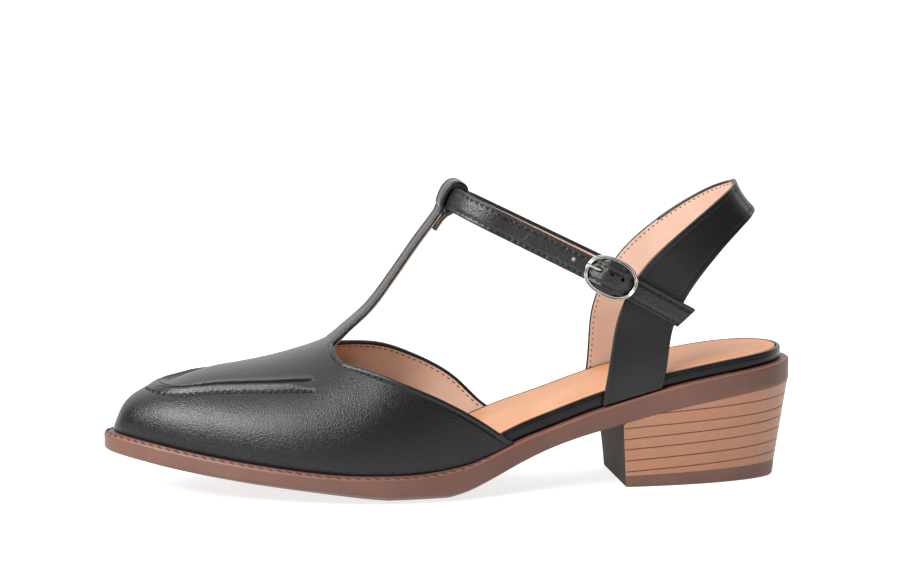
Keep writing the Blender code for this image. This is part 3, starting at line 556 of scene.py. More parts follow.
def heel_ring(share, inset):
    """Stations and y of a ring with a rounded back and a flat front, its two corners a little rounded."""
    turns = np.linspace(0.0, math.pi, HEEL_SEARCH)
    start = turns[np.argmax(outline(turns, HEEL_TOP_INSET)[0] >= BREAST)]
    turns = np.linspace(start, 2 * math.pi - start, HEEL_FINE)
    top = np.array(outline(turns, HEEL_TOP_INSET))
    top[0, [0, -1]] = BREAST
    turns = np.linspace(-math.pi / 2, math.pi / 2, HEEL_FINE)
    length = HEEL_FLOOR_BACK - HEEL_FLOOR_FRONT - 2.0 * inset
    floor = np.array((HEEL_FLOOR_FRONT + inset + length * np.cos(turns),
                      HEEL_FLOOR_SHIFT + (HEEL_FLOOR_HALF - inset) * np.sin(turns)))
    side = (top * (1.0 - share) + floor * share).T
    run = run_along(side)
    stops = np.linspace(HEEL_CORNER, run[-1] - HEEL_CORNER, HEEL_SIDE_POINTS)
    ring = list(places_at(stops, run, side))
    across = unit(side[0] - side[-1])
    low, high = side[-1] + across * HEEL_CORNER, side[0] - across * HEEL_CORNER
    ring += [ring_corner(ring[-1], side[-1], low, s) for s in CORNER_STOPS]
    ring += [low * (1.0 - s) + high * s for s in np.linspace(0.0, 1.0, HEEL_FRONT_POINTS)]
    ring += [ring_corner(high, side[0], ring[0], s) for s in CORNER_STOPS]
    return np.array(ring)


def ring_corner(start, corner, end, share):
    return start * (1 - share) ** 2 + corner * 2 * share * (1 - share) + end * share ** 2


def lift_top(station):
    share = (station - BREAST) / (LENGTH - BREAST)
    return LIFT_FRONT + (LIFT_BACK - LIFT_FRONT) * share


def joint_height(joint, station):
    front, back = joint
    return front + (back - front) * (station - BREAST) / (HEEL_FLOOR_BACK - BREAST)


def fan_cap(points, faces, first, count):
    """Close a ring by a fan round its middle."""
    points.append(np.mean(points[first:first + count], axis=0))
    faces += [(first + k, first + (k + 1) % count, len(points) - 1) for k in range(count)]


def front_zones(faces, count):
    """Zone 1 for the faces of rings that lie on the flat front, between the middles of its corners."""
    front = range(HEEL_SIDE_POINTS + 1, count - 2)
    return [1 if k % count in front else 0 for k in range(len(faces))]


def bump(x, middle, width):
    """1 at middle, falling off on both sides."""
    return np.exp(-((np.asarray(x, float) - middle) / width) ** 2)


def make_heel_block():
    points = []
    for level in np.linspace(0.0, 1.0, HEEL_LEVELS):
        ring = heel_ring(level * HEEL_LOW_SHARE, 0.0)
        on_side = np.arange(len(ring)) < HEEL_SIDE_POINTS
        way = unit(np.roll(ring, -1, axis=0) - np.roll(ring, 1, axis=0))
        inwards = np.column_stack((-way[:, 1], way[:, 0]))
        top = underside(ring[:, 0]) - HEEL_GLUE
        if level == 0.0:
            points += list(np.column_stack((ring + inwards * HEEL_LIP_WIDTH, top)))
        low = lift_top(ring[:, 0]) + HEEL_GLUE
        top = top + HEEL_LIP * on_side
        height = top + (low - top) * level
        dip = np.zeros(len(ring))
        for joint in LAYER_JOINTS:
            dip += bump(height, joint_height(joint, ring[:, 0]), JOINT_WIDTH) * on_side
        ring = ring + inwards * (JOINT_DEPTH * dip)[:, None]
        points += list(np.column_stack((ring, height)))
    count = len(ring)
    faces = ring_faces(HEEL_LEVELS + 1, count)
    zones = front_zones(faces, count)
    fan_cap(points, faces, 0, count)
    fan_cap(points, faces, HEEL_LEVELS * count, count)
    zones += [1] * (len(faces) - len(zones))
    return points, faces, zones


def layers(shade):
    x = shade.length() - (TOE_X + BREAST)
    z = shade.height()
    line = None
    for front, back in LAYER_JOINTS:
        pitch = (back - front) / (HEEL_FLOOR_BACK - BREAST)
        here = abs(z - front - pitch * x).ramp(*JOINT_LINE)
        line = here if line is None else line.math("MAXIMUM", line, here)
    streak = shade.cloud(0.42, 6.0, (1.0, 1.0, 11.0))
    fleck = shade.cells(1.5).ramp(0.10, 0.24)
    board = fleck.blend(LAYER_DEEP, streak.ramp(0.30, 0.70).blend(LAYER_DEEP, LAYER_COLOUR))
    return {
        "Base Color": line.blend(board, JOINT_COLOUR),
        "Roughness": 0.42 + 0.2 * streak,
        "Normal": (streak + 0.3 * shade.cloud(2.6)).relief(0.04),
        "Coat Weight": 0.12,
        "Coat Roughness": 0.3,
    }


# Front face of the heel and the lift: brown darkened with painted shade.
def front_shade(shade):
    drift = shade.cloud(0.16, 4.0)
    return {
        "Base Color": drift.ramp(0.35, 0.65).blend(FRONT_SHADE_DEEP, FRONT_SHADE_COLOUR),
        "Roughness": 0.65 + 0.2 * shade.cloud(1.2),
        "Normal": shade.cloud(1.4, 4.0, (1.0, 1.0, 3.0)).relief(0.05),
        "IOR": 1.28,
    }


shaded_front = finish("shaded_front", front_shade)
heel_finishes = [finish("stacked_board", layers), shaded_front]
heel_points, heel_faces, heel_zones = make_heel_block()
piece("stacked_heel", heel_points, heel_faces, heel_finishes, node="heel_block",
      zones=heel_zones)

# Top lift: a wear piece of brown rubber under the heel block, ground flush with its sides, with a
# softened lower edge and a flat face that stands on the floor.
LIFT_COLOUR = (0.118, 0.053, 0.036, 1.0)
LIFT_DEEP = (0.102, 0.045, 0.030, 1.0)
# rings from the top down: share of the heel's taper, inset and share of the lift's thickness
LIFT_LEVELS = ((0.88, 0.0, 1.0), (0.90, 0.0, 0.8), (0.93, 0.0, 0.5), (0.965, 0.0, 0.24),
               (0.98, 0.05, 0.13), (0.992, 0.2, 0.055), (1.0, 0.42, 0.012), (1.0, 0.8, 0.0))


def make_top_lift():
    points = []
    for share, inset, level in LIFT_LEVELS:
        ring = heel_ring(share, inset)
        points += list(np.column_stack((ring, lift_top(ring[:, 0]) * level)))
    count = len(ring)
    faces = ring_faces(len(LIFT_LEVELS), count)
    zones = front_zones(faces, count)
    fan_cap(points, faces, 0, count)
    fan_cap(points, faces, (len(LIFT_LEVELS) - 1) * count, count)
    return points, faces, zones + [0] * (len(faces) - len(zones))


lift_points, lift_faces, lift_zones = make_top_lift()
lift_rubber = finish("lift_rubber", rubber(LIFT_COLOUR, LIFT_DEEP))
# the lift's front face takes the heel front's painted shade
piece("heel_top_lift", lift_points, lift_faces, [lift_rubber, shaded_front], node="top_lift",
      zones=lift_zones)

# Footbed: a shaped board with its edge wrapped in glossy black leather. The wrap ends in a rolled
# bead with a groove below it, and shows above the sole from the waist to the heel.
CLEARANCE = 0.3
UPPER_WALL = 1.8
NOSE_LEAN = 3.2
NOSE_LEAN_END = 30.0
FOOTBED_INSET = 3.2
FOOTBED_BARE_FROM = 146.0      # station where the upper ends and the wrapped edge comes out
FOOTBED_BARE_OVER = 12.0
FOOTBED_POINTS = 480
FOOTBED_LOW = ((0.9, 0.0), (0.3, 0.12), (0.05, 0.5), (0.0, 1.0))    # inset and rise of the lower edge
# inset and drop of the groove, of the bead above it and of the rim's inner side
BEAD = ((0.0, 2.3), (0.03, 1.95), (0.20, 1.78), (0.24, 1.62), (0.10, 1.46), (0.0, 1.25), (0.03, 0.85),
        (0.16, 0.5), (0.38, 0.2), (0.68, 0.04), (0.98, 0.0), (1.26, 0.08), (1.46, 0.3), (1.56, 0.7),
        (1.6, 1.2))
WRAP_COLOUR = (0.006, 0.006, 0.006, 1.0)
WRAP_DEEP = (0.003, 0.003, 0.003, 1.0)


def seat(station):
    return SOLE["corner"](station) + SOLE["lip"](station)


def footbed_depth(station):
    return SOLE["rim"](station) - seat(station) - CLEARANCE


def footbed_inset(station):
    """Clear of the upper's inner face in front, close to the sole's edge behind."""
    station = np.asarray(station, float)
    nose = NOSE_LEAN * np.clip(1.0 - station / NOSE_LEAN_END, 0.0, 1.0)
    inside_upper = SOLE["welt"](station) + UPPER_WALL + 2.0 * CLEARANCE + nose
    share = np.clip((station - FOOTBED_BARE_FROM) / FOOTBED_BARE_OVER, 0.0, 1.0)
    return inside_upper * (1.0 - share) + FOOTBED_INSET * share


def footbed_ring(angles, extra, drop):
    """Ring inside the footbed's edge, at a drop below its rim."""
    return level_ring(angles, lambda s: footbed_inset(s) + extra, lambda s: SOLE["rim"](s) - drop(s))


def make_footbed():
    angles = np.linspace(0.0, 2 * math.pi, FOOTBED_POINTS, endpoint=False)
    rings = [footbed_ring(angles, extra, lambda s: footbed_depth(s) - rise) for extra, rise in FOOTBED_LOW]
    rings += [footbed_ring(angles, extra, lambda s: drop) for extra, drop in BEAD]
    points = [p for ring in rings for p in ring]
    faces = ring_faces(len(rings), FOOTBED_POINTS)
    for ring in (0, len(rings) - 1):
        flat_cap(points, faces, ring * FOOTBED_POINTS, FOOTBED_POINTS)
    return points, faces


def wrap(shade):
    drift = shade.cloud(0.2, 3.0)
    pebble = shade.cells(1.9, "SMOOTH_F1")
    return {
        "Base Color": drift.ramp(0.35, 0.65).blend(WRAP_DEEP, WRAP_COLOUR),
        "Roughness": 0.24 + 0.14 * drift,
        "Normal": (pebble + 0.6 * shade.cloud(0.7)).relief(0.03),
        "IOR": 1.30,
        "Coat Weight": 0.08,
        "Coat Roughness": 0.16,
    }


bed_points, bed_faces = make_footbed()
piece("wrapped_footbed", bed_points, bed_faces, [finish("glossy_wrap", wrap)], node="footbed")

# Sock: smooth orange-tan leather cut to shape and glued into the footbed, with an embossed line a few
# millimetres inside its edge and a thin foam pad under the heel.
RIM_WIDTH = 1.6
SOCK_DEPTH = 0.9
SOCK_LINE = 3.4
SOCK_COLUMNS = 28
SOCK_NOSE = 40.0               # station up to which the rings lie closer together
SOCK_NOSE_SHARE = 0.25
# inset and drop of the cut edge, of the embossed line and of the ring from which the middle is filled
SOCK_RINGS = ((0.0, SOCK_DEPTH), (0.0, 0.4), (0.08, 0.18), (0.28, 0.04), (0.6, 0.0),
              (SOCK_LINE - 0.6, 0.0), (SOCK_LINE - 0.28, 0.10), (SOCK_LINE, 0.17),
              (SOCK_LINE + 0.28, 0.10), (SOCK_LINE + 0.6, 0.0), (7.0, 0.0))
PAD_STARTS = (186.0, 195.0)
PAD_ENDS = (226.0, 240.0)
PAD_SIDES = (0.06, 0.26)
PAD_RISE = 0.35
SOCK_COLOUR = (0.418, 0.208, 0.106, 1.0)
SOCK_DEEP = (0.368, 0.170, 0.081, 1.0)
SOCK_PORE = (0.306, 0.132, 0.060, 1.0)
SOCK_RIM = (0.460, 0.198, 0.083, 1.0)
SOCK_RIM_DEEP = (0.414, 0.170, 0.066, 1.0)
SOCK_RIM_RINGS = 6


def make_sock():
    angles = np.linspace(0.0, 2 * math.pi, FOOTBED_POINTS, endpoint=False)
    edge = RIM_WIDTH + CLEARANCE

    def inside(extra):
        return lambda s: footbed_inset(s) + edge + extra * np.clip(s / SOCK_NOSE, SOCK_NOSE_SHARE, 1.0)

    rings = []
    for extra, drop in SOCK_RINGS:
        rings.append(level_ring(angles, inside(extra), lambda s: SOLE["rim"](s) - drop))
    points = [p for ring in rings for p in ring]
    faces = ring_faces(len(rings), FOOTBED_POINTS)
    flat_cap(points, faces, 0, FOOTBED_POINTS)

    def pad(row, share, place):
        sides = smooth(*PAD_SIDES, share) * smooth(*PAD_SIDES, 1.0 - share)
        return PAD_RISE * sides * smooth(*PAD_STARTS, place[0]) * (1.0 - smooth(*PAD_ENDS, place[0]))

    cap_across(points, faces, (len(rings) - 1) * FOOTBED_POINTS, FOOTBED_POINTS, SOCK_COLUMNS, pad)
    on_rim = SOCK_RIM_RINGS * FOOTBED_POINTS
    return points, faces, [1 if k < on_rim else 0 for k in range(len(faces))]


def lining_leather(light, deep, pore):
    def sockets(shade):
        drift = shade.cloud(0.055, 4.0).ramp(0.32, 0.70)
        fine = shade.cloud(1.1, 4.0)
        pores = shade.cells(1.25).ramp(0.05, 0.17)
        return {
            "Base Color": pores.blend(pore, (drift * 0.75 + fine * 0.25).blend(deep, light)),
            "Roughness": 0.5 + 0.16 * fine,
            "Normal": (pores * 0.6 + fine).relief(0.03),
            "IOR": 1.42,
        }
    return sockets


sock_points, sock_faces, sock_zones = make_sock()
sock_leather = finish("sock_leather", lining_leather(SOCK_COLOUR, SOCK_DEEP, SOCK_PORE))
sock_rim = finish("sock_rim", lining_leather(SOCK_RIM, SOCK_RIM_DEEP, SOCK_PORE))
piece("tan_sock", sock_points, sock_faces, [sock_leather, sock_rim], node="sock",
      zones=sock_zones)

# Upper: black leather lasted over the toe and lined with pinkish tan leather. A pinched seam stands up
# in a U over the toe, the sides are cut low and run out at the waist, and the middle runs on as the
# T-strap, which folds over at its top into a loop. All free edges are turned and stitched.
WALL_BULGE = 1.0
BULGE_SHARE = 0.05             # most of the half width that the bulge takes
NOSE_LIFT = 0.4
NOSE_REACH = 14.0
SEAM_FRONT = 17.8
SEAM_END = 79.0
SEAM_STATIONS = (17.8, 21.0, 24.0, 34.0, 42.0, 52.0, 65.0, 79.0)
SEAM_HEIGHTS = (0.30, 0.60, 1.00, 1.20, 1.25, 1.30, 1.30, 0.70)
SEAM_INNER_HEIGHTS = (0.30, 0.60, 1.20, 2.00, 1.80, 1.30, 1.15, 0.60)
# the leather inside the seam lies lower near the toe
APRON_DROPS = (0.9, 1.5, 1.7, 0.8, 0.1, 0.0, 0.0, 0.0)
SEAM_REACH = 3.4
SEAM_PITCH = 2.5
# profile of the seam by the distance from its line, negative inside it; pairs are middle and half width
SEAM_FACE = (-2.3, -0.9)       # start and end of its steep inner face
SEAM_SLOPE = (-0.6, 2.9)       # start and end of its outer slope
SEAM_LIP = (-3.2, 0.5)
SEAM_LIP_RISE = 0.40
SEAM_CREASE = (-2.3, 0.46)
SEAM_CREASE_DEPTH = 0.66
SEAM_GROOVE = (2.75, 0.56)
SEAM_GROOVE_DEPTH = 0.44
SEAM_PUCKER = 0.5
APRON_EDGE = (1.8, 4.8)
SEAM_AROUND = 6.0              # the leather outside the seam is plain beyond this distance
SEAM_FADE = 14.0               # stretch over which the ridge runs out at its ends
SEAM_LINES_FADE = (4.0, 6.2)   # distances from the ends where its fine lines begin and are full
SEAM_FINE = 0.2                # distance between the places on its line
THROAT = 82.6
THROAT_HALF = 9.2
STRAP_HALF = 6.2
STRAP_NARROWS = 7.0
STRAP_FALL = math.radians(26.5)
LOOP_AT = (128.5, 105.8)
EDGE_ROUND = 0.45
EDGE_STITCH = 1.55
LINING_STITCH = 1.45           # from the edge to the stitches seen on the lining
EDGE_PITCH = 2.4
EDGE_PIT = 0.26                # depth of the groove in which the stitches lie
EDGE_PIT_WIDTH = 0.40
EDGE_SWELL = 0.12
EDGE_SWELL_AT = (0.5, 0.6)
LEAST_WALL = 1.0
STITCH_FREE = 5                # rows at a wing's end without stitches
EDGE_STITCH_DEPTH = 0.20
SEAM_STITCH_DEPTH = 0.28
FOLD_IN = 0.40                 # black leather turned over the edge, seen inside
LINING_STEP = 0.22
UPPER_COLUMNS = ("station", "crest", "side_power")
UPPER_ROWS = [
    (3.4, 22.3, 1.0),
    (4.5, 26.1, 1.0),
    (6.4, 30.4, 1.0),
    (9.6, 34.4, 1.0),
    (14.0, 37.3, 1.0),
    (20.0, 40.2, 1.0),
    (28.0, 42.8, 1.0),
    (38.0, 45.0, 1.0),
    (50.0, 46.7, 1.0),
    (60.0, 48.5, 1.0),
    (70.0, 51.0, 1.0),
    (80.0, 54.3, 1.0),
    (92.0, 59.8, 0.95),
    (105.0, 66.0, 0.92),
    (125.0, 75.5, 0.92),
    (148.0, 85.0, 0.92),
]
SEAM_COLUMNS = ("station", "half_width")
SEAM_ROWS = [
    (17.8, 0.0),
    (20.8, 8.0),
    (30.0, 13.7),
    (45.0, 17.7),
    (60.0, 21.6),
    (75.0, 25.2),
    (86.0, 27.6),
]
TOPLINE_COLUMNS = ("station", "outer", "inner")
TOPLINE_ROWS = [
    (82.6, 52.9, 53.6),
    (83.2, 51.4, 52.4),
    (84.6, 50.1, 51.6),
    (88.6, 49.0, 51.0),
    (99.3, 45.8, 50.1),
    (108.0, 42.2, 48.2),
    (117.1, 38.2, 44.5),
    (126.1, 33.5, 40.1),
    (135.6, 27.6, 33.2),
    (145.6, 20.9, 24.0),
    (149.6, 19.0, 22.3),
]
WING_ENDS = {"outer": 145.6, "inner": 149.4}
TSTRAP_COLUMNS = ("station", "height")
TSTRAP_ROWS = [
    (79.0, 53.9),
    (82.6, 55.7),
    (88.0, 59.8),
    (94.4, 64.7),
    (98.7, 69.0),
    (103.7, 75.6),
    (108.7, 82.6),
    (114.4, 90.7),
    (120.1, 98.2),
    (122.4, 101.3),
]
# the loop's outer face from front to back: places along and across the ankle strap
LOOP_ROWS = [
    (-3.6, -5.6),
    (-4.3, -3.2),
    (-4.75, 0.6),
    (-4.15, 4.3),
    (-2.4, 6.4),
    (0.0, 7.0),
    (2.3, 6.2),
    (3.6, 3.8),
    (3.3, 0.0),
    (2.7, -3.0),
    (1.7, -5.0),
    (0.5, -6.8),
    (-0.2, -8.6),
    (-0.6, -10.8),
    (-0.9, -13.4),
]
FOLD_STEP = 0.45               # distance between the rows of the fold, nearly
TAIL_LINED = 24.0              # run of the fold from which the lining covers its end
LOOP_PAD = 0.8                 # greater thickness of the loop's top
LOOP_PAD_AT = (14.0, 5.0)      # its place along the fold and half width
LOOP_CREASE = 0.30             # depth of the crease where the loop begins
LOOP_CREASE_AT = (1.0, 0.5)
SIDE_COUNTS = (20, 40, 8)      # columns of a side below, on and above the raised seam
SEAM_LEAST = 0.42              # least place of those columns, as a share of the half width
SEAM_SPARE = 0.3
SEAM_SHARE = 0.45              # most of the angles below and above that they take up
TOP_SHARES = (0.55, 0.3)       # room above them where the seam is wide and where it is narrow
SEAM_BEND = 4.0                # stretch on both sides of the seam's front with closer rows
NOSE_ROWS, BEND_ROWS, VAMP_ROWS = 26, 30, 128
STRAP_COLUMNS = 24
TSTRAP_ROWS_MADE = 90
WING_ROWS = 80
WING_EASE = 1.4                # power that sets a wing's rows closer near the throat
WING_PASS = 0.14               # share of a wing over which its columns move up to the edge
EDGE_DROP = 0.8                # share of the edge's round that stands above the sheet
EDGE_BAND = 4.6
EDGE_BAND_COLUMNS = 26
LEAST_SINE = 0.012
CREASE_REACH = 15.0
CREASE_POINTS = 60
# soft creases of the vamp: stations and shares of the way up its side, depth and half width
VAMP_CREASES = (
    (((88.0, 0.80), (76.0, 0.62), (66.0, 0.40)), 0.30, 5.0),
    (((100.0, 0.72), (92.0, 0.45), (86.0, 0.22)), 0.22, 6.0),
)
LEATHER_COLOUR = (0.0048, 0.0047, 0.0049, 1.0)
LEATHER_DEEP = (0.0022, 0.0022, 0.0024, 1.0)
LINING_COLOUR = (0.625, 0.424, 0.328, 1.0)
LINING_DEEP = (0.535, 0.338, 0.250, 1.0)
LINING_PORE = (0.440, 0.238, 0.158, 1.0)
THREAD_COLOUR = (0.008, 0.0075, 0.0075, 1.0)
THREAD_DEEP = (0.004, 0.004, 0.004, 1.0)
BROWN_THREAD = (0.170, 0.050, 0.029, 1.0)
BROWN_THREAD_DEEP = (0.090, 0.026, 0.015, 1.0)


def upper_reach(station):
    """Root of the distance behind the tip of the upper, so that its nose comes out round."""
    return np.sqrt(np.maximum(np.asarray(station, float) - UPPER_ROWS[0][0], 0.0))


def seam_reach(station):
    return np.sqrt(np.maximum(np.asarray(station, float) - SEAM_FRONT, 0.0))


UPPER = columns_of(UPPER_COLUMNS, UPPER_ROWS, upper_reach)
SEAM = columns_of(SEAM_COLUMNS, SEAM_ROWS, seam_reach)
TOPLINE = columns_of(TOPLINE_COLUMNS, TOPLINE_ROWS, lambda s: np.sqrt(np.maximum(s - THROAT, 0.0)))
TSTRAP = columns_of(TSTRAP_COLUMNS, TSTRAP_ROWS)
FEATHER_TURNS = np.linspace(0.0, math.pi, 1500)
FEATHER_OUTER = np.array(outline(FEATHER_TURNS, SOLE["welt"]))
FEATHER_INNER = np.array(outline(-FEATHER_TURNS, SOLE["welt"]))


def section(station):
    """Middle, half width, foot height, rise and side power of the last's section at a station."""
    outer = np.interp(station, FEATHER_OUTER[0], FEATHER_OUTER[1])
    inner = np.interp(station, FEATHER_INNER[0], FEATHER_INNER[1])
    nose = np.maximum(1.0 - np.asarray(station) / NOSE_REACH, 0.0)
    foot = seat(station) + CLEARANCE + NOSE_LIFT * nose
    reach = upper_reach(station)
    rise = np.maximum(UPPER["crest"](reach) - foot, 0.0)
    return 0.5 * (outer + inner), 0.5 * (inner - outer), foot, rise, UPPER["side_power"](reach)


def last_place(station, angle, side):
    """Place on the last's surface: angle 0 at the welt, a quarter turn at the crest."""
    middle, half, foot, rise, power = section(station)
    bulge = np.minimum(WALL_BULGE, BULGE_SHARE * half) * np.sin(2.0 * angle)
    across = half * np.maximum(np.cos(angle), 0.0) ** power + bulge
    place = np.broadcast_arrays(station, middle + side * across, foot + rise * np.sin(angle))
    return np.stack(place, axis=-1)


def angle_at_width(station, width):
    half, power = section(station)[1], section(station)[4]
    return np.arccos(np.clip(width / np.maximum(half, 1e-9), 0.0, 1.0) ** (1.0 / power))


def angle_at_height(station, height):
    foot, rise = section(station)[2:4]
    return np.arcsin(np.clip((height - foot) / np.maximum(rise, 1e-9), LEAST_SINE, 1.0))


def side_angles(station):
    """Angles of a side's columns, close together on the raised seam."""
    half, rise = section(station)[1], section(station)[3]
    seam = max(float(SEAM["half_width"](seam_reach(station))), SEAM_LEAST * half)
    room = TOP_SHARES[0] * (seam - SEAM_REACH) if seam > SEAM_REACH + 1.0 else TOP_SHARES[1] * seam
    at_edge = float(angle_at_width(station, min(THROAT_HALF, room)))
    at_seam = float(angle_at_width(station, seam))
    pace = math.hypot(half * math.sin(at_seam), rise * math.cos(at_seam))
    reach = min((SEAM_REACH + SEAM_SPARE) / max(pace, 1e-6), SEAM_SHARE * at_seam,
                SEAM_SHARE * (at_edge - at_seam))
    stops = (0.0, at_seam - reach, at_seam + reach, at_edge)
    bands = [np.linspace(a, b, n + 1)[:-1] for a, b, n in zip(stops, stops[1:], SIDE_COUNTS)]
    return np.concatenate(bands + [[at_edge]])


def wing_angles(throat_angles, share, station, top):
    """Angles of a wing's row: they pass from the throat's columns to columns close below the edge."""
    half, rise = section(station)[1], section(station)[3]
    high = float(angle_at_height(station, top))
    pace = math.hypot(half * math.sin(high), rise * math.cos(high))
    band = min(EDGE_BAND / max(pace, 1e-6), 0.5 * high)
    low = len(throat_angles) - 1 - EDGE_BAND_COLUMNS
    close = np.concatenate((np.linspace(0.0, high - band, low + 1)[:-1],
                            np.linspace(high - band, high, EDGE_BAND_COLUMNS + 1)))
    blend = float(smooth(0.0, WING_PASS, share))
    return throat_angles * (high / throat_angles[-1]) * (1.0 - blend) + close * blend


def loop_place(along, across):
    """Station and height of a place given along and across the ankle strap."""
    return (LOOP_AT[0] + along * math.cos(STRAP_FALL) + across * math.sin(STRAP_FALL),
            LOOP_AT[1] - along * math.sin(STRAP_FALL) + across * math.cos(STRAP_FALL))


def tstrap_path():
    """Station and height along the T-strap from the throat, over the loop and down its inside."""
    stations = np.linspace(THROAT, TSTRAP_ROWS[-1][0], TSTRAP_ROWS_MADE)[1:]
    rising = np.column_stack((stations, TSTRAP["height"](stations)))
    fold = np.array([loop_place(*row) for row in LOOP_ROWS])
    run = run_along(fold)
    stops = np.linspace(0.0, run[-1] - EDGE_ROUND, TSTRAP_ROWS_MADE)
    folded = np.column_stack([spline(run, column)(stops) for column in fold.T])
    return rising, folded


def face_normals_at(points, faces):
    """Normals at the places of a sheet, from its faces."""
    faces = np.asarray(faces)
    a, b, c, d = (points[faces[:, k]] for k in range(4))
    normals = np.cross(c - a, d - b)
    total = np.zeros_like(points)
    for k in range(4):
        np.add.at(total, faces[:, k], normals)
    return unit(total)


def facing(points, faces, spot, way):
    """Faces and normals of a sheet, turned so that the normal at one spot points a given way."""
    normals = face_normals_at(points, faces)
    if np.dot(normals[spot], way) < 0.0:
        return [face[::-1] for face in faces], -normals
    return faces, normals


def strip_faces(before, current):
    """Faces between two rows of places of a sheet."""
    return [(before[k], before[k + 1], current[k + 1], current[k]) for k in range(len(current) - 1)]


def edges_out(faces, points, normals):
    """Free edges of a sheet in the order of their faces, and the way out of the sheet at their ends."""
    count = {}
    for face in faces:
        for k in range(4):
            a, b = face[k], face[(k + 1) % 4]
            if a != b:
                count[(a, b)] = count.get((a, b), 0) + 1
    free = [(a, b) for (a, b) in count if (b, a) not in count]
    out = {}
    for a, b in free:
        way = np.cross(unit(points[b] - points[a]), normals[a])
        for v in (a, b):
            out[v] = out.get(v, 0.0) + way
    return free, {v: unit(w) for v, w in out.items()}


RIM_STEPS = 6


def wall_of(outside, inside, faces, free, out, edge_round):
    """Closed wall between two sheets with the same faces, its free edges rounded over."""
    count = len(outside)
    points = list(outside) + list(inside)
    made = [tuple(f) for f in faces] + [tuple(v + count for v in f[::-1]) for f in faces]
    rim = {}
    for v, way in out.items():
        middle = 0.5 * (outside[v] + inside[v])
        half = 0.5 * (outside[v] - inside[v])
        swell = min(np.linalg.norm(half), edge_round)
        row = [v]
        for turn in np.linspace(0.0, math.pi, RIM_STEPS + 1)[1:-1]:
            row.append(len(points))
            points.append(middle + half * math.cos(turn) + way * swell * math.sin(turn))
        rim[v] = row + [v + count]
    for a, b in free:
        made += [(rim[a][k], rim[a][k + 1], rim[b][k + 1], rim[b][k]) for k in range(RIM_STEPS)]
    return points, [tuple(dict.fromkeys(face)) for face in made]


def upper_sheet():
    """Sheet of the upper without seam and stitches: places, faces, free edges and the fold's first place."""
    tip = UPPER_ROWS[0][0]
    bend = (SEAM_FRONT - SEAM_BEND, SEAM_FRONT + SEAM_BEND)
    stations = np.concatenate((
        tip + np.linspace(0.0, math.sqrt(bend[0] - tip), NOSE_ROWS)[1:] ** 2,
        np.linspace(*bend, BEND_ROWS)[1:],
        np.linspace(bend[1], THROAT, VAMP_ROWS)[1:]))
    points = [last_place(tip, 0.0, -1.0)]
    faces = []
    side_count = sum(SIDE_COUNTS) + 1
    previous = [0] * (2 * side_count + STRAP_COLUMNS - 1)
    shares = 2.0 * np.arange(1, STRAP_COLUMNS) / STRAP_COLUMNS - 1.0
    for station in stations:
        angles = side_angles(station)
        width = section(station)[1] * math.cos(angles[-1])
        strap = last_place(station, angle_at_width(station, np.abs(shares) * width), np.sign(shares))
        row = (*last_place(station, angles, -1.0), *strap, *last_place(station, angles[::-1], 1.0))
        current = list(range(len(points), len(points) + len(row)))
        points += list(row)
        faces += strip_faces(previous, current)
        previous = current

    throat_angles = side_angles(THROAT)
    edges = {}
    wings = {"outer": (-1.0, previous[:side_count]), "inner": (1.0, previous[:-side_count - 1:-1])}
    for name, (side, before) in wings.items():
        edges[name] = [before[-1]]
        for share in np.linspace(0.0, 1.0, WING_ROWS)[1:]:
            station = THROAT + (WING_ENDS[name] - THROAT) * share ** WING_EASE
            top = float(TOPLINE[name](math.sqrt(station - THROAT))) - EDGE_DROP * EDGE_ROUND
            row = last_place(station, wing_angles(throat_angles, share, station, top), side)
            current = list(range(len(points), len(points) + len(row)))
            points += list(row)
            made = strip_faces(before, current)
            faces += made if side < 0.0 else [face[::-1] for face in made]
            before = current
            edges[name].append(current[-1])

    strap_columns = previous[side_count - 1:side_count + STRAP_COLUMNS]
    crown = [points[k][2] - points[strap_columns[STRAP_COLUMNS // 2]][2] for k in strap_columns]
    middle = float(section(THROAT)[0])
    start = float(TSTRAP["height"](THROAT))
    rising, folded = tstrap_path()
    before = strap_columns
    edges["strap"] = [[k] for k in (strap_columns[0], strap_columns[-1])]
    fold_from = len(points) + len(rising) * (STRAP_COLUMNS + 1)
    for station, height in np.concatenate((rising, folded)):
        fade = math.exp(-max(height - start, 0.0) / STRAP_NARROWS)
        flat = math.exp(-(max(height - start, 0.0) / STRAP_NARROWS) ** 2)
        half = STRAP_HALF + (THROAT_HALF - STRAP_HALF) * fade - EDGE_ROUND * (1.0 - fade)
        current = list(range(len(points), len(points) + STRAP_COLUMNS + 1))
        for k in range(STRAP_COLUMNS + 1):
            share = 2.0 * k / STRAP_COLUMNS - 1.0
            points.append(np.array((station, middle * fade + share * half, height + crown[k] * flat)))
        faces += strip_faces(before, current)
        edges["strap"][0].append(current[0])
        edges["strap"][1].append(current[-1])
        before = current
    return np.array(points), faces, edges, fold_from


def dense(path, pitch=0.25):
    return resample(path, pitch)[0]


def distance_from(points, rows):
    """Distances of places of a sheet from the nearest of its rows."""
    tree = tree_of(np.concatenate([dense(points[ids]) for ids in rows]))
    return np.array([tree.find(Vector(place))[2] for place in points])


def seam_line():
    """Places of the raised seam on the last, from its outer end round the front to its inner end."""
    stations = SEAM_FRONT + np.linspace(0.0, math.sqrt(SEAM_END - SEAM_FRONT), 400) ** 2
    angles = angle_at_width(stations, SEAM["half_width"](seam_reach(stations)))
    outer, inner = (last_place(stations, angles, side) for side in (-1.0, 1.0))
    return dense(np.concatenate((outer[::-1], inner[1:])), SEAM_FINE)


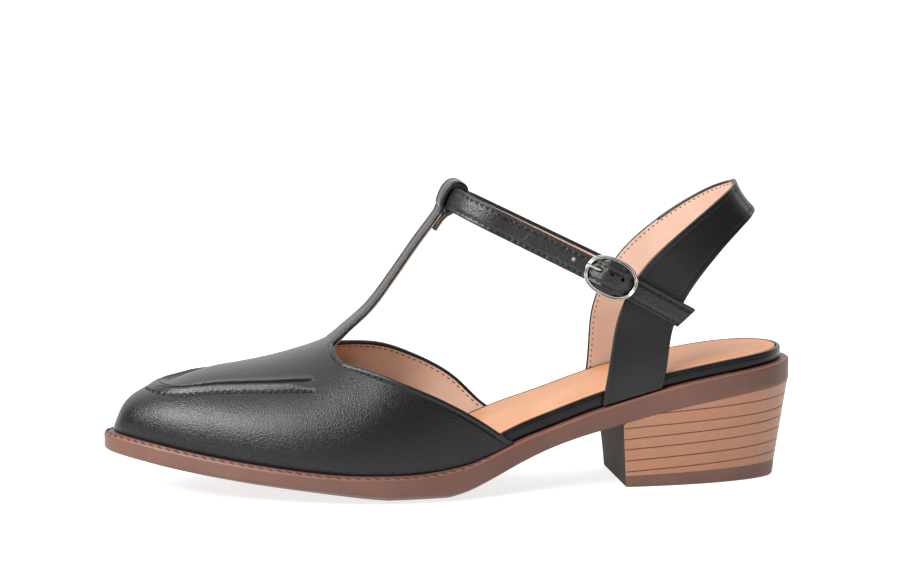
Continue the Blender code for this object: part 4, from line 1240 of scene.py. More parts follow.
def seam_relief(points):
    """Rise of the raised seam: a lip and a crease inside, a slope to a puckered stitch groove outside."""
    line = seam_line()
    tree = tree_of(line)
    rise = np.zeros(len(points))
    for k, place in enumerate(points):
        if not SEAM_FRONT - SEAM_AROUND < place[0] < SEAM_END + SEAM_REACH:
            continue
        spot, index, gap = tree.find(Vector(place))
        middle = section(place[0])[0]
        half = SEAM["half_width"](seam_reach(place[0]))
        inside = place[0] > SEAM_FRONT and abs(place[1] - middle) < half
        if gap > SEAM_AROUND and not inside:
            continue
        d = -gap if inside else gap
        heights = SEAM_INNER_HEIGHTS if place[1] > middle else SEAM_HEIGHTS
        height = np.interp(place[0], SEAM_STATIONS, heights)
        fade = float(smooth(0.0, SEAM_FADE, SEAM_END - place[0]))
        lines = float(smooth(*SEAM_LINES_FADE, SEAM_END - place[0]))
        ridge = height * smooth(*SEAM_FACE, d) * (1.0 - smooth(*SEAM_SLOPE, d))
        lip = SEAM_LIP_RISE * bump(d, *SEAM_LIP)
        crease = -SEAM_CREASE_DEPTH * bump(d, *SEAM_CREASE)
        pucker = 1.0 + SEAM_PUCKER * math.cos(2 * math.pi * index * SEAM_FINE / SEAM_PITCH)
        groove = -SEAM_GROOVE_DEPTH * bump(d, *SEAM_GROOVE) * pucker
        apron = -np.interp(place[0], SEAM_STATIONS, APRON_DROPS) * smooth(*APRON_EDGE, -d)
        rise[k] = float(ridge * fade + (lip + crease + groove) * lines + apron)
    return rise


def crease_relief(points):
    """Soft troughs of the vamp on both sides."""
    rise = np.zeros(len(points))
    for stops, depth, width in VAMP_CREASES:
        table = np.array(stops)
        for side in (-1.0, 1.0):
            shares = np.linspace(0.0, 1.0, CREASE_POINTS)
            runs = np.linspace(0.0, 1.0, len(table))
            stations = np.interp(shares, runs, table[:, 0])
            angles = np.interp(shares, runs, table[:, 1]) * math.pi / 2
            line = last_place(stations, angles, side)
            tree = tree_of(line)
            low, high = stations.min() - CREASE_REACH, stations.max() + CREASE_REACH
            for k, place in enumerate(points):
                if low < place[0] < high and place[1] * side > 0.0:
                    spot, index, gap = tree.find(Vector(place))
                    ends = math.sin(math.pi * index / (CREASE_POINTS - 1.0))
                    rise[k] -= depth * ends * math.exp(-(gap / width) ** 2)
    return rise


def leather(light, deep, pebble, gloss, depth):
    """Black leather: a pebble of so many cells to a millimetre and so deep, with a soft gloss."""
    def sockets(shade):
        drift = shade.cloud(0.07, 4.0)
        grain = shade.cells(pebble, "SMOOTH_F1")
        fine = shade.cloud(3.5, 2.0)
        return {
            "Base Color": (drift * 0.6 + grain * 0.4).ramp(0.25, 0.65).blend(light, deep),
            "Roughness": gloss + 0.14 * drift + 0.10 * grain,
            "Normal": (grain + 0.45 * fine + 0.10 * shade.cloud(0.5)).relief(depth),
            "IOR": 1.41,
            "Coat Weight": 0.04,
            "Coat Roughness": 0.3,
        }
    return sockets


def thread(light, deep):
    def sockets(shade):
        twist = shade.cloud(2.5, 3.0)
        return {
            "Base Color": twist.ramp(0.35, 0.65).blend(deep, light),
            "Roughness": 0.5 + 0.2 * twist,
            "Normal": twist.relief(0.05),
            "IOR": 1.35,
        }
    return sockets


black_leather = finish("black_leather", leather(LEATHER_COLOUR, LEATHER_DEEP, pebble=2.15, gloss=0.21,
                                                depth=0.115))
tan_lining = finish("tan_lining", lining_leather(LINING_COLOUR, LINING_DEEP, LINING_PORE))
black_thread = finish("black_thread", thread(THREAD_COLOUR, THREAD_DEEP))
brown_thread = finish("brown_thread", thread(BROWN_THREAD, BROWN_THREAD_DEEP))

sheet, sheet_faces, sheet_edges, fold_from = upper_sheet()
sheet_faces, sheet_normals = facing(sheet, sheet_faces, sheet_edges["strap"][0][0], (0.0, 0.0, 1.0))
free_edges, ways_out = edges_out(sheet_faces, sheet, sheet_normals)
top_edges = [sheet_edges["outer"], sheet_edges["inner"], *sheet_edges["strap"]]
from_edge = distance_from(sheet, top_edges)
relief = seam_relief(sheet) + crease_relief(sheet)
relief -= EDGE_PIT * bump(from_edge, EDGE_STITCH, EDGE_PIT_WIDTH)
relief += EDGE_SWELL * bump(from_edge, *EDGE_SWELL_AT)
fold_run = (np.arange(len(sheet)) - fold_from) // (STRAP_COLUMNS + 1) * FOLD_STEP
relief -= LOOP_CREASE * bump(fold_run, *LOOP_CREASE_AT)
turned_in = from_edge < FOLD_IN
depth = UPPER_WALL - LINING_STEP * turned_in + LOOP_PAD * bump(fold_run, *LOOP_PAD_AT)
depth = np.maximum(depth, LEAST_WALL - relief)
upper_outside = sheet + sheet_normals * relief[:, None]
upper_inside = sheet - sheet_normals * depth[:, None]
upper_points, upper_faces = wall_of(upper_outside, upper_inside, sheet_faces, free_edges, ways_out,
                                    EDGE_ROUND)
upper_zones = [0] * len(upper_faces)
# Inside the fold the lining face and the loop's rims stay black leather, not tan: painted shade for the
# shadow inside the loop.
for number, face in enumerate(sheet_faces):
    lined = not any(turned_in[v] for v in face) and max(face) < fold_from
    upper_zones[len(sheet_faces) + number] = 1 if lined else 0
    upper_zones[number] = 1 if min(face) >= fold_from and fold_run[face[0]] > TAIL_LINED else 0
on_strap = {v for ids in sheet_edges["strap"] for v in ids}
for number, (a, b) in enumerate(free_edges):
    if a in on_strap and b in on_strap:
        first = 2 * len(sheet_faces) + number * RIM_STEPS
        if max(a, b) < fold_from:
            upper_zones[first + RIM_STEPS - 2:first + RIM_STEPS] = [1, 1]
        elif fold_run[a] > TAIL_LINED:
            upper_zones[first:first + 2] = [1, 1]
piece("leather_upper", upper_points, upper_faces, [black_leather, tan_lining], node="upper",
      zones=upper_zones)

sheet_tree = tree_of(sheet)
sheet_normal = normal_near(sheet, sheet_normals)


def on_sheet(place, lift):
    """Place moved to the upper's surface, lifted from it."""
    spot, index, gap = sheet_tree.find(Vector(place))
    normal = sheet_normals[index]
    return place - normal * (np.dot(place - sheet[index], normal) - lift)


def edge_row(ids, inset, lift):
    """Row beside a free edge of the upper, at an inset from it."""
    return np.array([on_sheet(sheet[v] - ways_out[v] * inset, lift) for v in ids])


stitch_points, stitch_faces = [], []
lining_points, lining_faces = [], []
for side, name in ((0, "outer"), (1, "inner")):
    strap_ids = [v for v in sheet_edges["strap"][side] if v < fold_from]
    row_ids = sheet_edges[name][:0:-1][STITCH_FREE:] + strap_ids
    add_stitches(stitch_points, stitch_faces, edge_row(row_ids, EDGE_STITCH, -EDGE_STITCH_DEPTH),
                 sheet_normal, EDGE_PITCH, length=1.6, radius=0.25)
    add_stitches(lining_points, lining_faces, edge_row(row_ids, LINING_STITCH, -UPPER_WALL),
                 lambda p: -sheet_normal(p), EDGE_PITCH, length=1.6, radius=0.25)
seam_places = seam_line()
seam_normals = np.array([sheet_normal(p) for p in seam_places])
seam_ways = unit(np.gradient(seam_places, axis=0))
seam_out = np.cross(seam_normals, seam_ways) * SEAM_GROOVE[0]
groove = seam_places + seam_out
if np.linalg.norm(groove[0] - groove[-1]) < np.linalg.norm(seam_places[0] - seam_places[-1]):
    groove = seam_places - seam_out
groove = np.array([on_sheet(p, -SEAM_STITCH_DEPTH) for p in groove])
add_stitches(stitch_points, stitch_faces, groove, sheet_normal, SEAM_PITCH, length=1.8, radius=0.30)
piece("upper_stitching", stitch_points, stitch_faces, [black_thread])
piece("lining_stitching", lining_points, lining_faces, [brown_thread])

# Sling: a wide band of the same leather and lining. It rises from the waist on both sides, narrows and
# passes behind the heel; its ends are lasted under the footbed, its edges turned and stitched.
SLING_COLUMNS = ("front_run", "front_height", "rear_run", "rear_height")
SLING_ROWS = [
    (119.0, 31.9, 92.3, 37.9),
    (104.6, 48.2, 84.4, 46.4),
    (91.0, 63.1, 74.4, 57.7),
    (77.9, 74.5, 63.9, 67.2),
    (62.0, 85.4, 50.2, 77.2),
    (36.0, 98.8, 29.5, 89.4),
    (14.0, 107.9, 11.8, 97.1),
    (0.0, 111.3, 0.0, 100.1),
]
OUTWARDS = (0.0, -1.0, 0.0)    # towards the outer side of the foot
SLING_INSET = 2.0
SLING_LEAVES = (36.0, 62.0)
HEEL_FORM_BACK = 241.7
HEEL_FORM_DEPTH = 48.0
FORM_LEVEL = 99.2
FORM_LEAN = 0.68
FORM_HALF = 25.9
FORM_HALF_LEVEL = 38.0
FORM_CLOSE = 0.058
SLING_DEPTH = 1.8
SLING_HOLLOW = 0.9
SLING_INNER_BACK = 1.8
SLING_SIDE_ROWS = 210
SLING_WIDE = 30
SLING_STITCH = 1.7
SLING_LINING_STITCH = 1.05
SLING_PITCH = 2.1
SLING_PIT = 0.14               # depth of the groove in which the stitches lie
SLING_PIT_WIDTH = 0.5
SLING_SWELL = 0.06
SLING_SWELL_AT = (0.9, 0.6)
SLING_LINING_PIT = 0.10
SLING_LINING_PIT_WIDTH = 0.4
SLING_STITCHED = (2, -2)       # slice of the rows that are stitched
SLING_STITCH_DEPTH = 0.10
SLING_LINING_STITCH_DEPTH = 0.06
SLING_JOIN = 9.3               # place along the band where its back piece begins on the inner side
JOIN_OVER = 0.04
JOIN_STEP = 0.5
FORM_POINTS = 200
# soft creases behind the heel: place along the band (0 to 14), depth and half width in its own measure
SLING_CREASES = ((5.6, 0.16, 0.16), (6.3, 0.22, 0.13), (7.8, 0.20, 0.14), (8.6, 0.14, 0.18))
SLING_COLOUR = (0.0080, 0.0079, 0.0082, 1.0)
SLING_DEEP = (0.0045, 0.0045, 0.0047, 1.0)


def form_place(run, height, side, share):
    """Places on the heel form, at a distance forward from its back measured level round it."""
    half = FORM_HALF - FORM_CLOSE * (height - FORM_HALF_LEVEL)
    free = smooth(*SLING_LEAVES, height)
    run = run - np.where(side > 0.0, SLING_INNER_BACK * (1.0 - free), 0.0)
    turns = np.linspace(math.pi / 2, 0.0, FORM_POINTS)
    pace = np.hypot(HEEL_FORM_DEPTH * np.cos(turns), half[:, None] * np.sin(turns))
    steps = 0.5 * (pace[:, 1:] + pace[:, :-1]) * (turns[0] - turns[1])
    runs = np.concatenate((np.zeros((len(run), 1)), np.cumsum(steps, axis=1)), axis=1)
    turn = np.array([np.interp(r, row, turns) for r, row in zip(run, runs)])
    station = HEEL_FORM_BACK - HEEL_FORM_DEPTH + HEEL_FORM_DEPTH * np.sin(turn)
    station -= np.maximum(run - runs[:, -1], 0.0) + FORM_LEAN * (height - FORM_LEVEL)
    station -= SLING_HOLLOW * np.sin(math.pi * share) * np.sin(turn) ** 2
    angle = sole_angle(station)
    on_sole = PLAN["swing"](angle) + side * (PLAN["half_width"](angle) - SLING_INSET)
    y = side * half * np.cos(turn) * free + on_sole * (1.0 - free)
    return np.column_stack((station, y, height))


def grid_faces(rows, columns):
    return [(i * columns + j, i * columns + j + 1, (i + 1) * columns + j + 1, (i + 1) * columns + j)
            for i in range(rows - 1) for j in range(columns - 1)]


def sling_sheet():
    rows = np.array(SLING_ROWS)
    numbers = np.arange(len(rows))
    pattern = {name: spline(numbers, rows[:, k]) for k, name in enumerate(SLING_COLUMNS)}
    along = np.linspace(0.0, len(rows) - 1.0, SLING_SIDE_ROWS)
    measure = np.concatenate((along, 2.0 * along[-1] - along[-2::-1]))
    t = np.minimum(measure, 2.0 * along[-1] - measure)
    side = np.where(measure <= along[-1], -1.0, 1.0)
    wide = np.hypot(pattern["front_run"](t) - pattern["rear_run"](t),
                    pattern["front_height"](t) - pattern["rear_height"](t))
    inset = EDGE_ROUND / wide
    share = inset[:, None] + (1.0 - 2.0 * inset[:, None]) * np.linspace(0.0, 1.0, SLING_WIDE)

    def across(front, rear):
        return pattern[front](t)[:, None] * (1 - share) + pattern[rear](t)[:, None] * share

    run = across("front_run", "rear_run")
    height = across("front_height", "rear_height")
    spread = np.repeat(side, SLING_WIDE)
    places = form_place(run.ravel(), height.ravel(), spread, share.ravel())
    return places, len(t), np.repeat(measure, SLING_WIDE)


band, band_rows, band_measure = sling_sheet()
band_faces, band_normals = facing(band, grid_faces(band_rows, SLING_WIDE), 0, OUTWARDS)
free_edges, ways_out = edges_out(band_faces, band, band_normals)
band_edges = [list(range(first, len(band), SLING_WIDE)) for first in (0, SLING_WIDE - 1)]
from_edge = distance_from(band, band_edges)
relief = -SLING_PIT * bump(from_edge, SLING_STITCH, SLING_PIT_WIDTH)
relief += SLING_SWELL * bump(from_edge, *SLING_SWELL_AT)
inner_relief = -SLING_LINING_PIT * bump(from_edge, SLING_LINING_STITCH, SLING_LINING_PIT_WIDTH)
for middle, deep, width in SLING_CREASES:
    relief -= deep * bump(band_measure, middle, width)
past_join = smooth(SLING_JOIN, SLING_JOIN + JOIN_OVER, band_measure)
column = np.tile(np.arange(SLING_WIDE), band_rows)
turned_in = np.minimum(column, SLING_WIDE - 1 - column) < 1.0 - past_join
relief -= JOIN_STEP * past_join
band_outside = band + band_normals * (SLING_DEPTH / 2 + relief)[:, None]
inner_depth = SLING_DEPTH / 2 - LINING_STEP * turned_in + inner_relief
band_inside = band - band_normals * inner_depth[:, None]
band_points, band_made = wall_of(band_outside, band_inside, band_faces, free_edges, ways_out, EDGE_ROUND)
band_zones = [0] * len(band_made)
for number, face in enumerate(band_faces):
    band_zones[len(band_faces) + number] = 0 if any(turned_in[v] for v in face) else 1
sling_leather = finish("sling_leather", leather(SLING_COLOUR, SLING_DEEP, pebble=2.2, gloss=0.25,
                                                depth=0.07))
piece("sling_band", band_points, band_made, [sling_leather, tan_lining], node="sling",
      zones=band_zones)

band_normal = normal_near(band, band_normals)
outer_points, outer_faces = [], []
inner_points, inner_faces = [], []
for edge_ids in band_edges:
    ids = edge_ids[slice(*SLING_STITCHED)]
    edge, normals = band[ids], band_normals[ids]
    ways = np.array([ways_out[v] for v in ids])
    outer_row = edge - ways * SLING_STITCH + normals * (SLING_DEPTH / 2 - SLING_STITCH_DEPTH)
    add_stitches(outer_points, outer_faces, outer_row, band_normal, SLING_PITCH, length=1.1, radius=0.25)
    inner_depth = SLING_DEPTH / 2 - SLING_LINING_STITCH_DEPTH
    inner_row = edge - ways * SLING_LINING_STITCH - normals * inner_depth
    add_stitches(inner_points, inner_faces, inner_row, lambda p: -band_normal(p), SLING_PITCH,
                 length=0.95, radius=0.25)
piece("sling_stitching", outer_points, outer_faces, [black_thread])
piece("sling_lining_stitching", inner_points, inner_faces, [brown_thread])

# Ankle strap: a narrow strap of black leather with a tan backing, stitched along both edges and
# punched with holes. It is sewn to the inner side of the sling, passes through the loop of the T-strap
# and the buckle, and has a free end cut at a slant.
ANKLE_WIDTH = 8.8
ANKLE_DEPTH = 1.5
ANKLE_APEX = -2.0
ANKLE_BEND = 21.0
ANKLE_FREE_END = 92.6
ANKLE_DROOP = 1.1
ANKLE_SKEW = 1.6
ANKLE_SEWN_END = 82.0
ANKLE_SEWN_LEVEL = 72.0
ANKLE_SEWN_SPARE = 0.3
ANKLE_SEWN_REACH = 1.5         # the strap lies flat on the sling over the last third of this side
ANKLE_CUT = 5.0                # length of the slant at the free end
ANKLE_SOFT = 3                 # steps over which the path is evened out on both sides
ANKLE_COLUMNS = 26
ANKLE_STEP = 0.42
ANKLE_STITCH = 1.45
ANKLE_STITCHED = (3, -6)       # slice of the rows that are stitched
ANKLE_STITCH_DEPTH = 0.14
ANKLE_PIT = (0.14, 0.12)       # depth of the stitch groove, and its change from stitch to stitch
ANKLE_PIT_WIDTH = 0.45
ANKLE_PAD = 0.16               # swell of the strap between its stitch rows
ANKLE_PAD_OVER = 1.4
ANKLE_MARGIN = 1.6             # black leather turned over the edges, seen inside
HOLES = ((45.0, 0.3), (59.2, 1.7), (63.8, 1.5))    # places along and across the strap
HOLE_RADIUS = 0.75
PUNCH_REACH = 8.0
PUNCH_SIDES = 20
SLOT_AT = 54.4
SLOT_HALF = 1.6
BUCKLE_AT = 60.0
BUCKLE_Y = -29.7
BUCKLE_HALF_LONG = 9.6
BUCKLE_WIRE = 0.75
WEAVE_TOP = 1.5
WEAVE_REACH = 8.0
EYE_RADIUS = 0.98
EYE_WIRE = 0.28
PRONG_WIDTH = 1.5
PRONG_RISE = 1.2
STRAP_COLOUR = (0.0150, 0.0148, 0.0153, 1.0)
STRAP_DEEP = (0.0060, 0.0060, 0.0063, 1.0)
# wrinkles across the strap: place along its outer side, depth, half width and slant
STRAP_WRINKLES = (
    (17.5, 0.16, 0.8, 0.25), (21.5, 0.13, 0.7, -0.2), (25.8, 0.15, 0.9, 0.35), (30.4, 0.10, 0.7, 0.1),
    (34.2, 0.12, 0.8, -0.3), (40.0, 0.10, 0.9, 0.2), (47.5, 0.14, 0.8, 0.3), (71.5, 0.10, 1.0, -0.2),
    (78.0, 0.12, 1.0, 0.25),
)
WRINKLE_MEAN, WRINKLE_SWING, WRINKLE_WAVE = 0.6, 0.4, 2.2    # depth of a wrinkle across the strap


def strap_place(along, y, across):
    station, height = loop_place(along, across)
    return np.array((station, y, height))


def weave(along):
    """How far the strap moves out over the buckle's bar and in under its frame."""
    gap = np.clip((np.abs(along - BUCKLE_AT) - WEAVE_TOP) / WEAVE_REACH, 0.0, 1.0)
    out = -(EYE_RADIUS + EYE_WIRE + CLEARANCE + ANKLE_DEPTH / 2)
    under = BUCKLE_WIRE + CLEARANCE + ANKLE_DEPTH / 2
    return under + (out - under) * 0.5 * (1.0 + np.cos(math.pi * gap))


def ankle_path():
    """Places along the strap's plane and y, from the sewn end round the loop to the free end."""
    form_half = FORM_HALF - FORM_CLOSE * (ANKLE_SEWN_LEVEL - FORM_HALF_LEVEL)
    sewn_y = form_half + SLING_DEPTH / 2 + CLEARANCE + ANKLE_DEPTH / 2 + ANKLE_SEWN_SPARE
    start = ANKLE_APEX + ANKLE_BEND
    along = np.linspace(ANKLE_SEWN_END, start, 80)
    share = np.minimum(ANKLE_SEWN_REACH * ((along - start) / (ANKLE_SEWN_END - start)), 1.0)
    path = list(zip(along, ANKLE_BEND + (sewn_y - ANKLE_BEND) * share))
    turns = np.linspace(math.pi / 2, -math.pi / 2, 160)[1:]
    path += list(zip(ANKLE_APEX + ANKLE_BEND * (1.0 - np.cos(turns)), ANKLE_BEND * np.sin(turns)))
    clear = BUCKLE_AT - BUCKLE_HALF_LONG
    along = np.linspace(start, clear, 60)[1:]
    out = BUCKLE_Y + weave(clear) + ANKLE_BEND
    path += list(zip(along, -ANKLE_BEND + out * (along - start) / (clear - start)))
    along = np.linspace(clear, ANKLE_FREE_END - EDGE_ROUND, 160)[1:]
    path += list(zip(along, BUCKLE_Y + weave(along)))
    run = run_along(path)
    even = places_at(np.linspace(0.0, run[-1], int(run[-1] / ANKLE_STEP)), run, path)
    soft = even.copy()
    for shift in range(1, ANKLE_SOFT + 1):
        padded = np.pad(even, ((shift, shift), (0, 0)), mode="edge")
        soft += padded[:-2 * shift] + padded[2 * shift:]
    soft /= 2.0 * ANKLE_SOFT + 1.0
    kept = ANKLE_SOFT + 1
    soft[:kept], soft[-kept:] = even[:kept], even[-kept:]
    return soft


def ankle_sheet():
    path = ankle_path()
    leaves = BUCKLE_AT + BUCKLE_HALF_LONG
    outer_side = np.arange(len(path)) > len(path) // 2
    droop = outer_side * np.maximum((path[:, 0] - leaves) / (ANKLE_FREE_END - leaves), 0.0)
    cut = outer_side * smooth(ANKLE_FREE_END - ANKLE_CUT, ANKLE_FREE_END, path[:, 0])
    shares = np.linspace(-1.0, 1.0, ANKLE_COLUMNS)
    places = []
    for (along, y), low, slant in zip(path, droop, cut):
        for share in shares:
            across = share * (ANKLE_WIDTH / 2 - EDGE_ROUND) - ANKLE_DROOP * low
            places.append(strap_place(along + share * slant * ANKLE_SKEW, y, across))
    along, outer_side = (np.repeat(column, ANKLE_COLUMNS) for column in (path[:, 0], outer_side))
    return np.array(places), len(path), along, outer_side


SLIVER = 0.02                  # thinnest triangle that a cut may leave


def cut_out(made, cutters):
    """Cut closed tools out of a piece, clear its slivers and take the tools away."""
    for tool in cutters:
        cut = made.modifiers.new("cut", "BOOLEAN")
        cut.operation = "DIFFERENCE"
        cut.solver = "EXACT"
        cut.object = tool
    bpy.context.view_layer.update()
    worked_out = made.evaluated_get(bpy.context.evaluated_depsgraph_get())
    shape = bpy.data.meshes.new_from_object(worked_out)
    made.modifiers.clear()
    form = bmesh.new()
    form.from_mesh(shape)
    bmesh.ops.triangulate(form, faces=[face for face in form.faces if len(face.verts) > 4])
    bmesh.ops.dissolve_degenerate(form, edges=form.edges, dist=SLIVER * MM)
    form.to_mesh(shape)
    form.free()
    made.data = shape
    for tool in cutters:
        bpy.data.objects.remove(tool, do_unlink=True)


def punch(along, across, half_long, half_wide, finish_inside):
    """Closed oval tool through the strap on its outer side."""
    points = []
    for y in (BUCKLE_Y - PUNCH_REACH, BUCKLE_Y + PUNCH_REACH):
        for turn in np.linspace(0.0, 2 * math.pi, PUNCH_SIDES, endpoint=False):
            place = strap_place(along + half_long * math.cos(turn), y, across + half_wide * math.sin(turn))
            points.append(place + (TOE_X, PLAN_SHIFT, 0.0))
    ends = [tuple(range(PUNCH_SIDES)), tuple(range(2 * PUNCH_SIDES - 1, PUNCH_SIDES - 1, -1))]
    faces = ring_faces(2, PUNCH_SIDES) + ends
    mesh = bpy.data.meshes.new("punch")
    mesh.from_pydata([tuple(p * MM) for p in points], [], faces)
    mesh.materials.append(finish_inside)
    form = bmesh.new()
    form.from_mesh(mesh)
    bmesh.ops.recalc_face_normals(form, faces=form.faces)
    form.to_mesh(mesh)
    form.free()
    tool = bpy.data.objects.new("punch", mesh)
    bpy.context.scene.collection.objects.link(tool)
    return tool


strap, strap_rows, strap_along, strap_outer = ankle_sheet()
strap_faces, strap_normals = facing(strap, grid_faces(strap_rows, ANKLE_COLUMNS), -1, OUTWARDS)
free_edges, ways_out = edges_out(strap_faces, strap, strap_normals)
across_share = np.tile(np.linspace(-1.0, 1.0, ANKLE_COLUMNS), strap_rows)
from_edge = (1.0 - np.abs(across_share)) * (ANKLE_WIDTH / 2 - EDGE_ROUND) + EDGE_ROUND
strap_run = np.repeat(np.arange(strap_rows) * ANKLE_STEP, ANKLE_COLUMNS)
pits = ANKLE_PIT[0] + ANKLE_PIT[1] * np.cos(2 * math.pi * strap_run / EDGE_PITCH)
relief = ANKLE_PAD * smooth(ANKLE_STITCH, ANKLE_STITCH + ANKLE_PAD_OVER, from_edge)
relief -= pits * bump(from_edge, ANKLE_STITCH, ANKLE_PIT_WIDTH)
for middle, deep, width, slant in STRAP_WRINKLES:
    at = strap_along - slant * across_share * ANKLE_WIDTH / 2
    uneven = WRINKLE_MEAN + WRINKLE_SWING * np.cos(WRINKLE_WAVE * across_share + middle)
    relief -= deep * bump(at, middle, width) * strap_outer * uneven
strap_outside = strap + strap_normals * (ANKLE_DEPTH / 2 + relief)[:, None]
strap_inside = strap - strap_normals * (ANKLE_DEPTH / 2)
strap_points, strap_made = wall_of(strap_outside, strap_inside, strap_faces, free_edges, ways_out,
                                   EDGE_ROUND)
strap_zones = [0] * len(strap_made)
for number, face in enumerate(strap_faces):
    strap_zones[len(strap_faces) + number] = 1 if from_edge[face[0]] > ANKLE_MARGIN else 0
strap_leather = finish("strap_leather", leather(STRAP_COLOUR, STRAP_DEEP, pebble=1.5, gloss=0.23,
                                                depth=0.12))
ankle = piece("ankle_strap_band", strap_points, strap_made, [strap_leather, tan_lining],
              node="ankle_strap", zones=strap_zones)
punches = [punch(along, across, HOLE_RADIUS, HOLE_RADIUS, strap_leather) for along, across in HOLES]
punches.append(punch(SLOT_AT, PRONG_RISE, SLOT_HALF, PRONG_WIDTH / 2 + CLEARANCE, strap_leather))
cut_out(ankle, punches)

strap_normal = normal_near(strap, strap_normals)
stitch_points, stitch_faces = [], []
for column in (0, ANKLE_COLUMNS - 1):
    ids = list(range(column, len(strap), ANKLE_COLUMNS))[slice(*ANKLE_STITCHED)]
    row = np.array([strap[v] - ways_out[v] * (ANKLE_STITCH - EDGE_ROUND) for v in ids])
    normals = np.array([strap_normals[v] for v in ids])
    add_stitches(stitch_points, stitch_faces, row + normals * (ANKLE_DEPTH / 2 - ANKLE_STITCH_DEPTH),
                 strap_normal, EDGE_PITCH, length=1.4, radius=0.25)
piece("ankle_strap_stitching", stitch_points, stitch_faces, [black_thread])

# Buckle frame: an oval frame of polished nickel with a groove round its face, so that it reads as two
# fine wires, and a straight bar across its middle under the strap.
BUCKLE_RISE = 0.3
BUCKLE_HALF_HIGH = 6.6
BUCKLE_FULL = 2.3
BAR_RADIUS = 0.5
FRAME_POINTS = 180
FRAME_SIDES = 32
FRAME_GROOVE = 0.50            # depth of the grooves as a share of the wire's radius
GROOVE_TURN = 0.45
FRAME_STEP = 0.28
NICKEL_COLOUR = (0.500, 0.485, 0.455, 1.0)
NICKEL_DEEP = (0.330, 0.315, 0.290, 1.0)


def sweep(points, faces, path, section_at, closed):
    """Sweep a ring of places given as (towards y, sideways) along a path."""
    path = np.asarray(path, float)
    first = len(points)
    if closed:
        ways = unit(np.roll(path, -1, axis=0) - np.roll(path, 1, axis=0))
    else:
        ways = unit(np.gradient(path, axis=0))
    for number, (place, way) in enumerate(zip(path, ways)):
        towards = np.array((0.0, 1.0, 0.0))
        towards = unit(towards - way * np.dot(towards, way))
        sideways = np.cross(way, towards)
        for a, b in section_at(number / (len(path) - 1.0)):
            points.append(place + towards * a + sideways * b)
    sides = len(section_at(0.0))
    faces += [tuple(v + first for v in face) for face in ring_faces(len(path), sides, closed)]
    if not closed:
        fan_cap(points, faces, first, sides)
        fan_cap(points, faces, first + (len(path) - 1) * sides, sides)


def frame_section(share):
    """Round wire with a groove on its front and on its back."""
    ring = []
    for turn in np.linspace(0.0, 2 * math.pi, FRAME_SIDES, endpoint=False):
        off = abs(turn - math.pi)
        grooves = bump(off, 0.0, GROOVE_TURN) + bump(off, math.pi, GROOVE_TURN)
        radius = BUCKLE_WIRE * (1.0 - FRAME_GROOVE * grooves)
        ring.append((radius * math.cos(turn), radius * math.sin(turn)))
    return ring


def full_oval(count, power):
    """Places round a unit oval, which a lower power makes fuller."""
    turns = np.linspace(0.0, 2 * math.pi, count, endpoint=False)
    circle = [(math.cos(turn), math.sin(turn)) for turn in turns]
    return [(math.copysign(abs(a) ** power, a), math.copysign(abs(b) ** power, b)) for a, b in circle]


def round_section(radius, sides=18):
    turns = np.linspace(0.0, 2 * math.pi, sides, endpoint=False)
    return lambda share: [(radius * math.cos(t), radius * math.sin(t)) for t in turns]


def make_buckle_frame():
    points, faces = [], []

    def in_frame(along, across):
        return strap_place(BUCKLE_AT + BUCKLE_HALF_LONG * along, BUCKLE_Y,
                           BUCKLE_RISE + BUCKLE_HALF_HIGH * across)

    oval = [in_frame(*spot) for spot in full_oval(FRAME_POINTS, 2 / BUCKLE_FULL)]
    sweep(points, faces, dense(oval + oval[:1], FRAME_STEP), frame_section, True)
    bar = [in_frame(0.0, across) for across in np.linspace(-1.0, 1.0, 12)]
    sweep(points, faces, bar, round_section(BAR_RADIUS), False)
    return points, faces


def nickel(shade):
    drift = shade.cloud(0.35, 3.0)
    return {
        "Base Color": drift.ramp(0.35, 0.70).blend(NICKEL_DEEP, NICKEL_COLOUR),
        "Metallic": 1.0,
        "Roughness": 0.16 + 0.10 * shade.cloud(1.8, 3.0),
        "Normal": shade.cloud(2.4, 2.0).relief(0.012),
    }


bright_nickel = finish("bright_nickel", nickel)
frame_points, frame_faces = make_buckle_frame()
piece("oval_buckle", frame_points, frame_faces, [bright_nickel], node="buckle_frame")

# Buckle prong: a nickel tongue rolled round the bar, through a punched slot of the strap, with its
# flattened tip resting on the frame.
PRONG_DEPTH = 0.9
PRONG_SIDES = 16
PRONG_FULL = 0.6               # power of its rounded section
PRONG_NARROWS = 0.22
PRONG_THINS = 0.12
PRONG_TIP_FROM = 0.9
PRONG_TIP_OVER = 0.105
PRONG_TIP_LEAST = 0.02
PRONG_PAST = 0.9               # reach of the tip past the middle of the frame's wire
PRONG_ROWS = 40
EYE_POINTS = 30


def prong_section(share):
    """Rounded bar that narrows to its tip; share runs from the eye to the tip."""
    tip = max((share - PRONG_TIP_FROM) / PRONG_TIP_OVER, 0.0)
    wide = PRONG_WIDTH / 2 * (1.0 - PRONG_NARROWS * share) * math.sqrt(max(1.0 - tip ** 2, PRONG_TIP_LEAST))
    deep = PRONG_DEPTH / 2 * (1.0 - PRONG_THINS * share)
    return [(deep * a, wide * b) for a, b in full_oval(PRONG_SIDES, PRONG_FULL)]


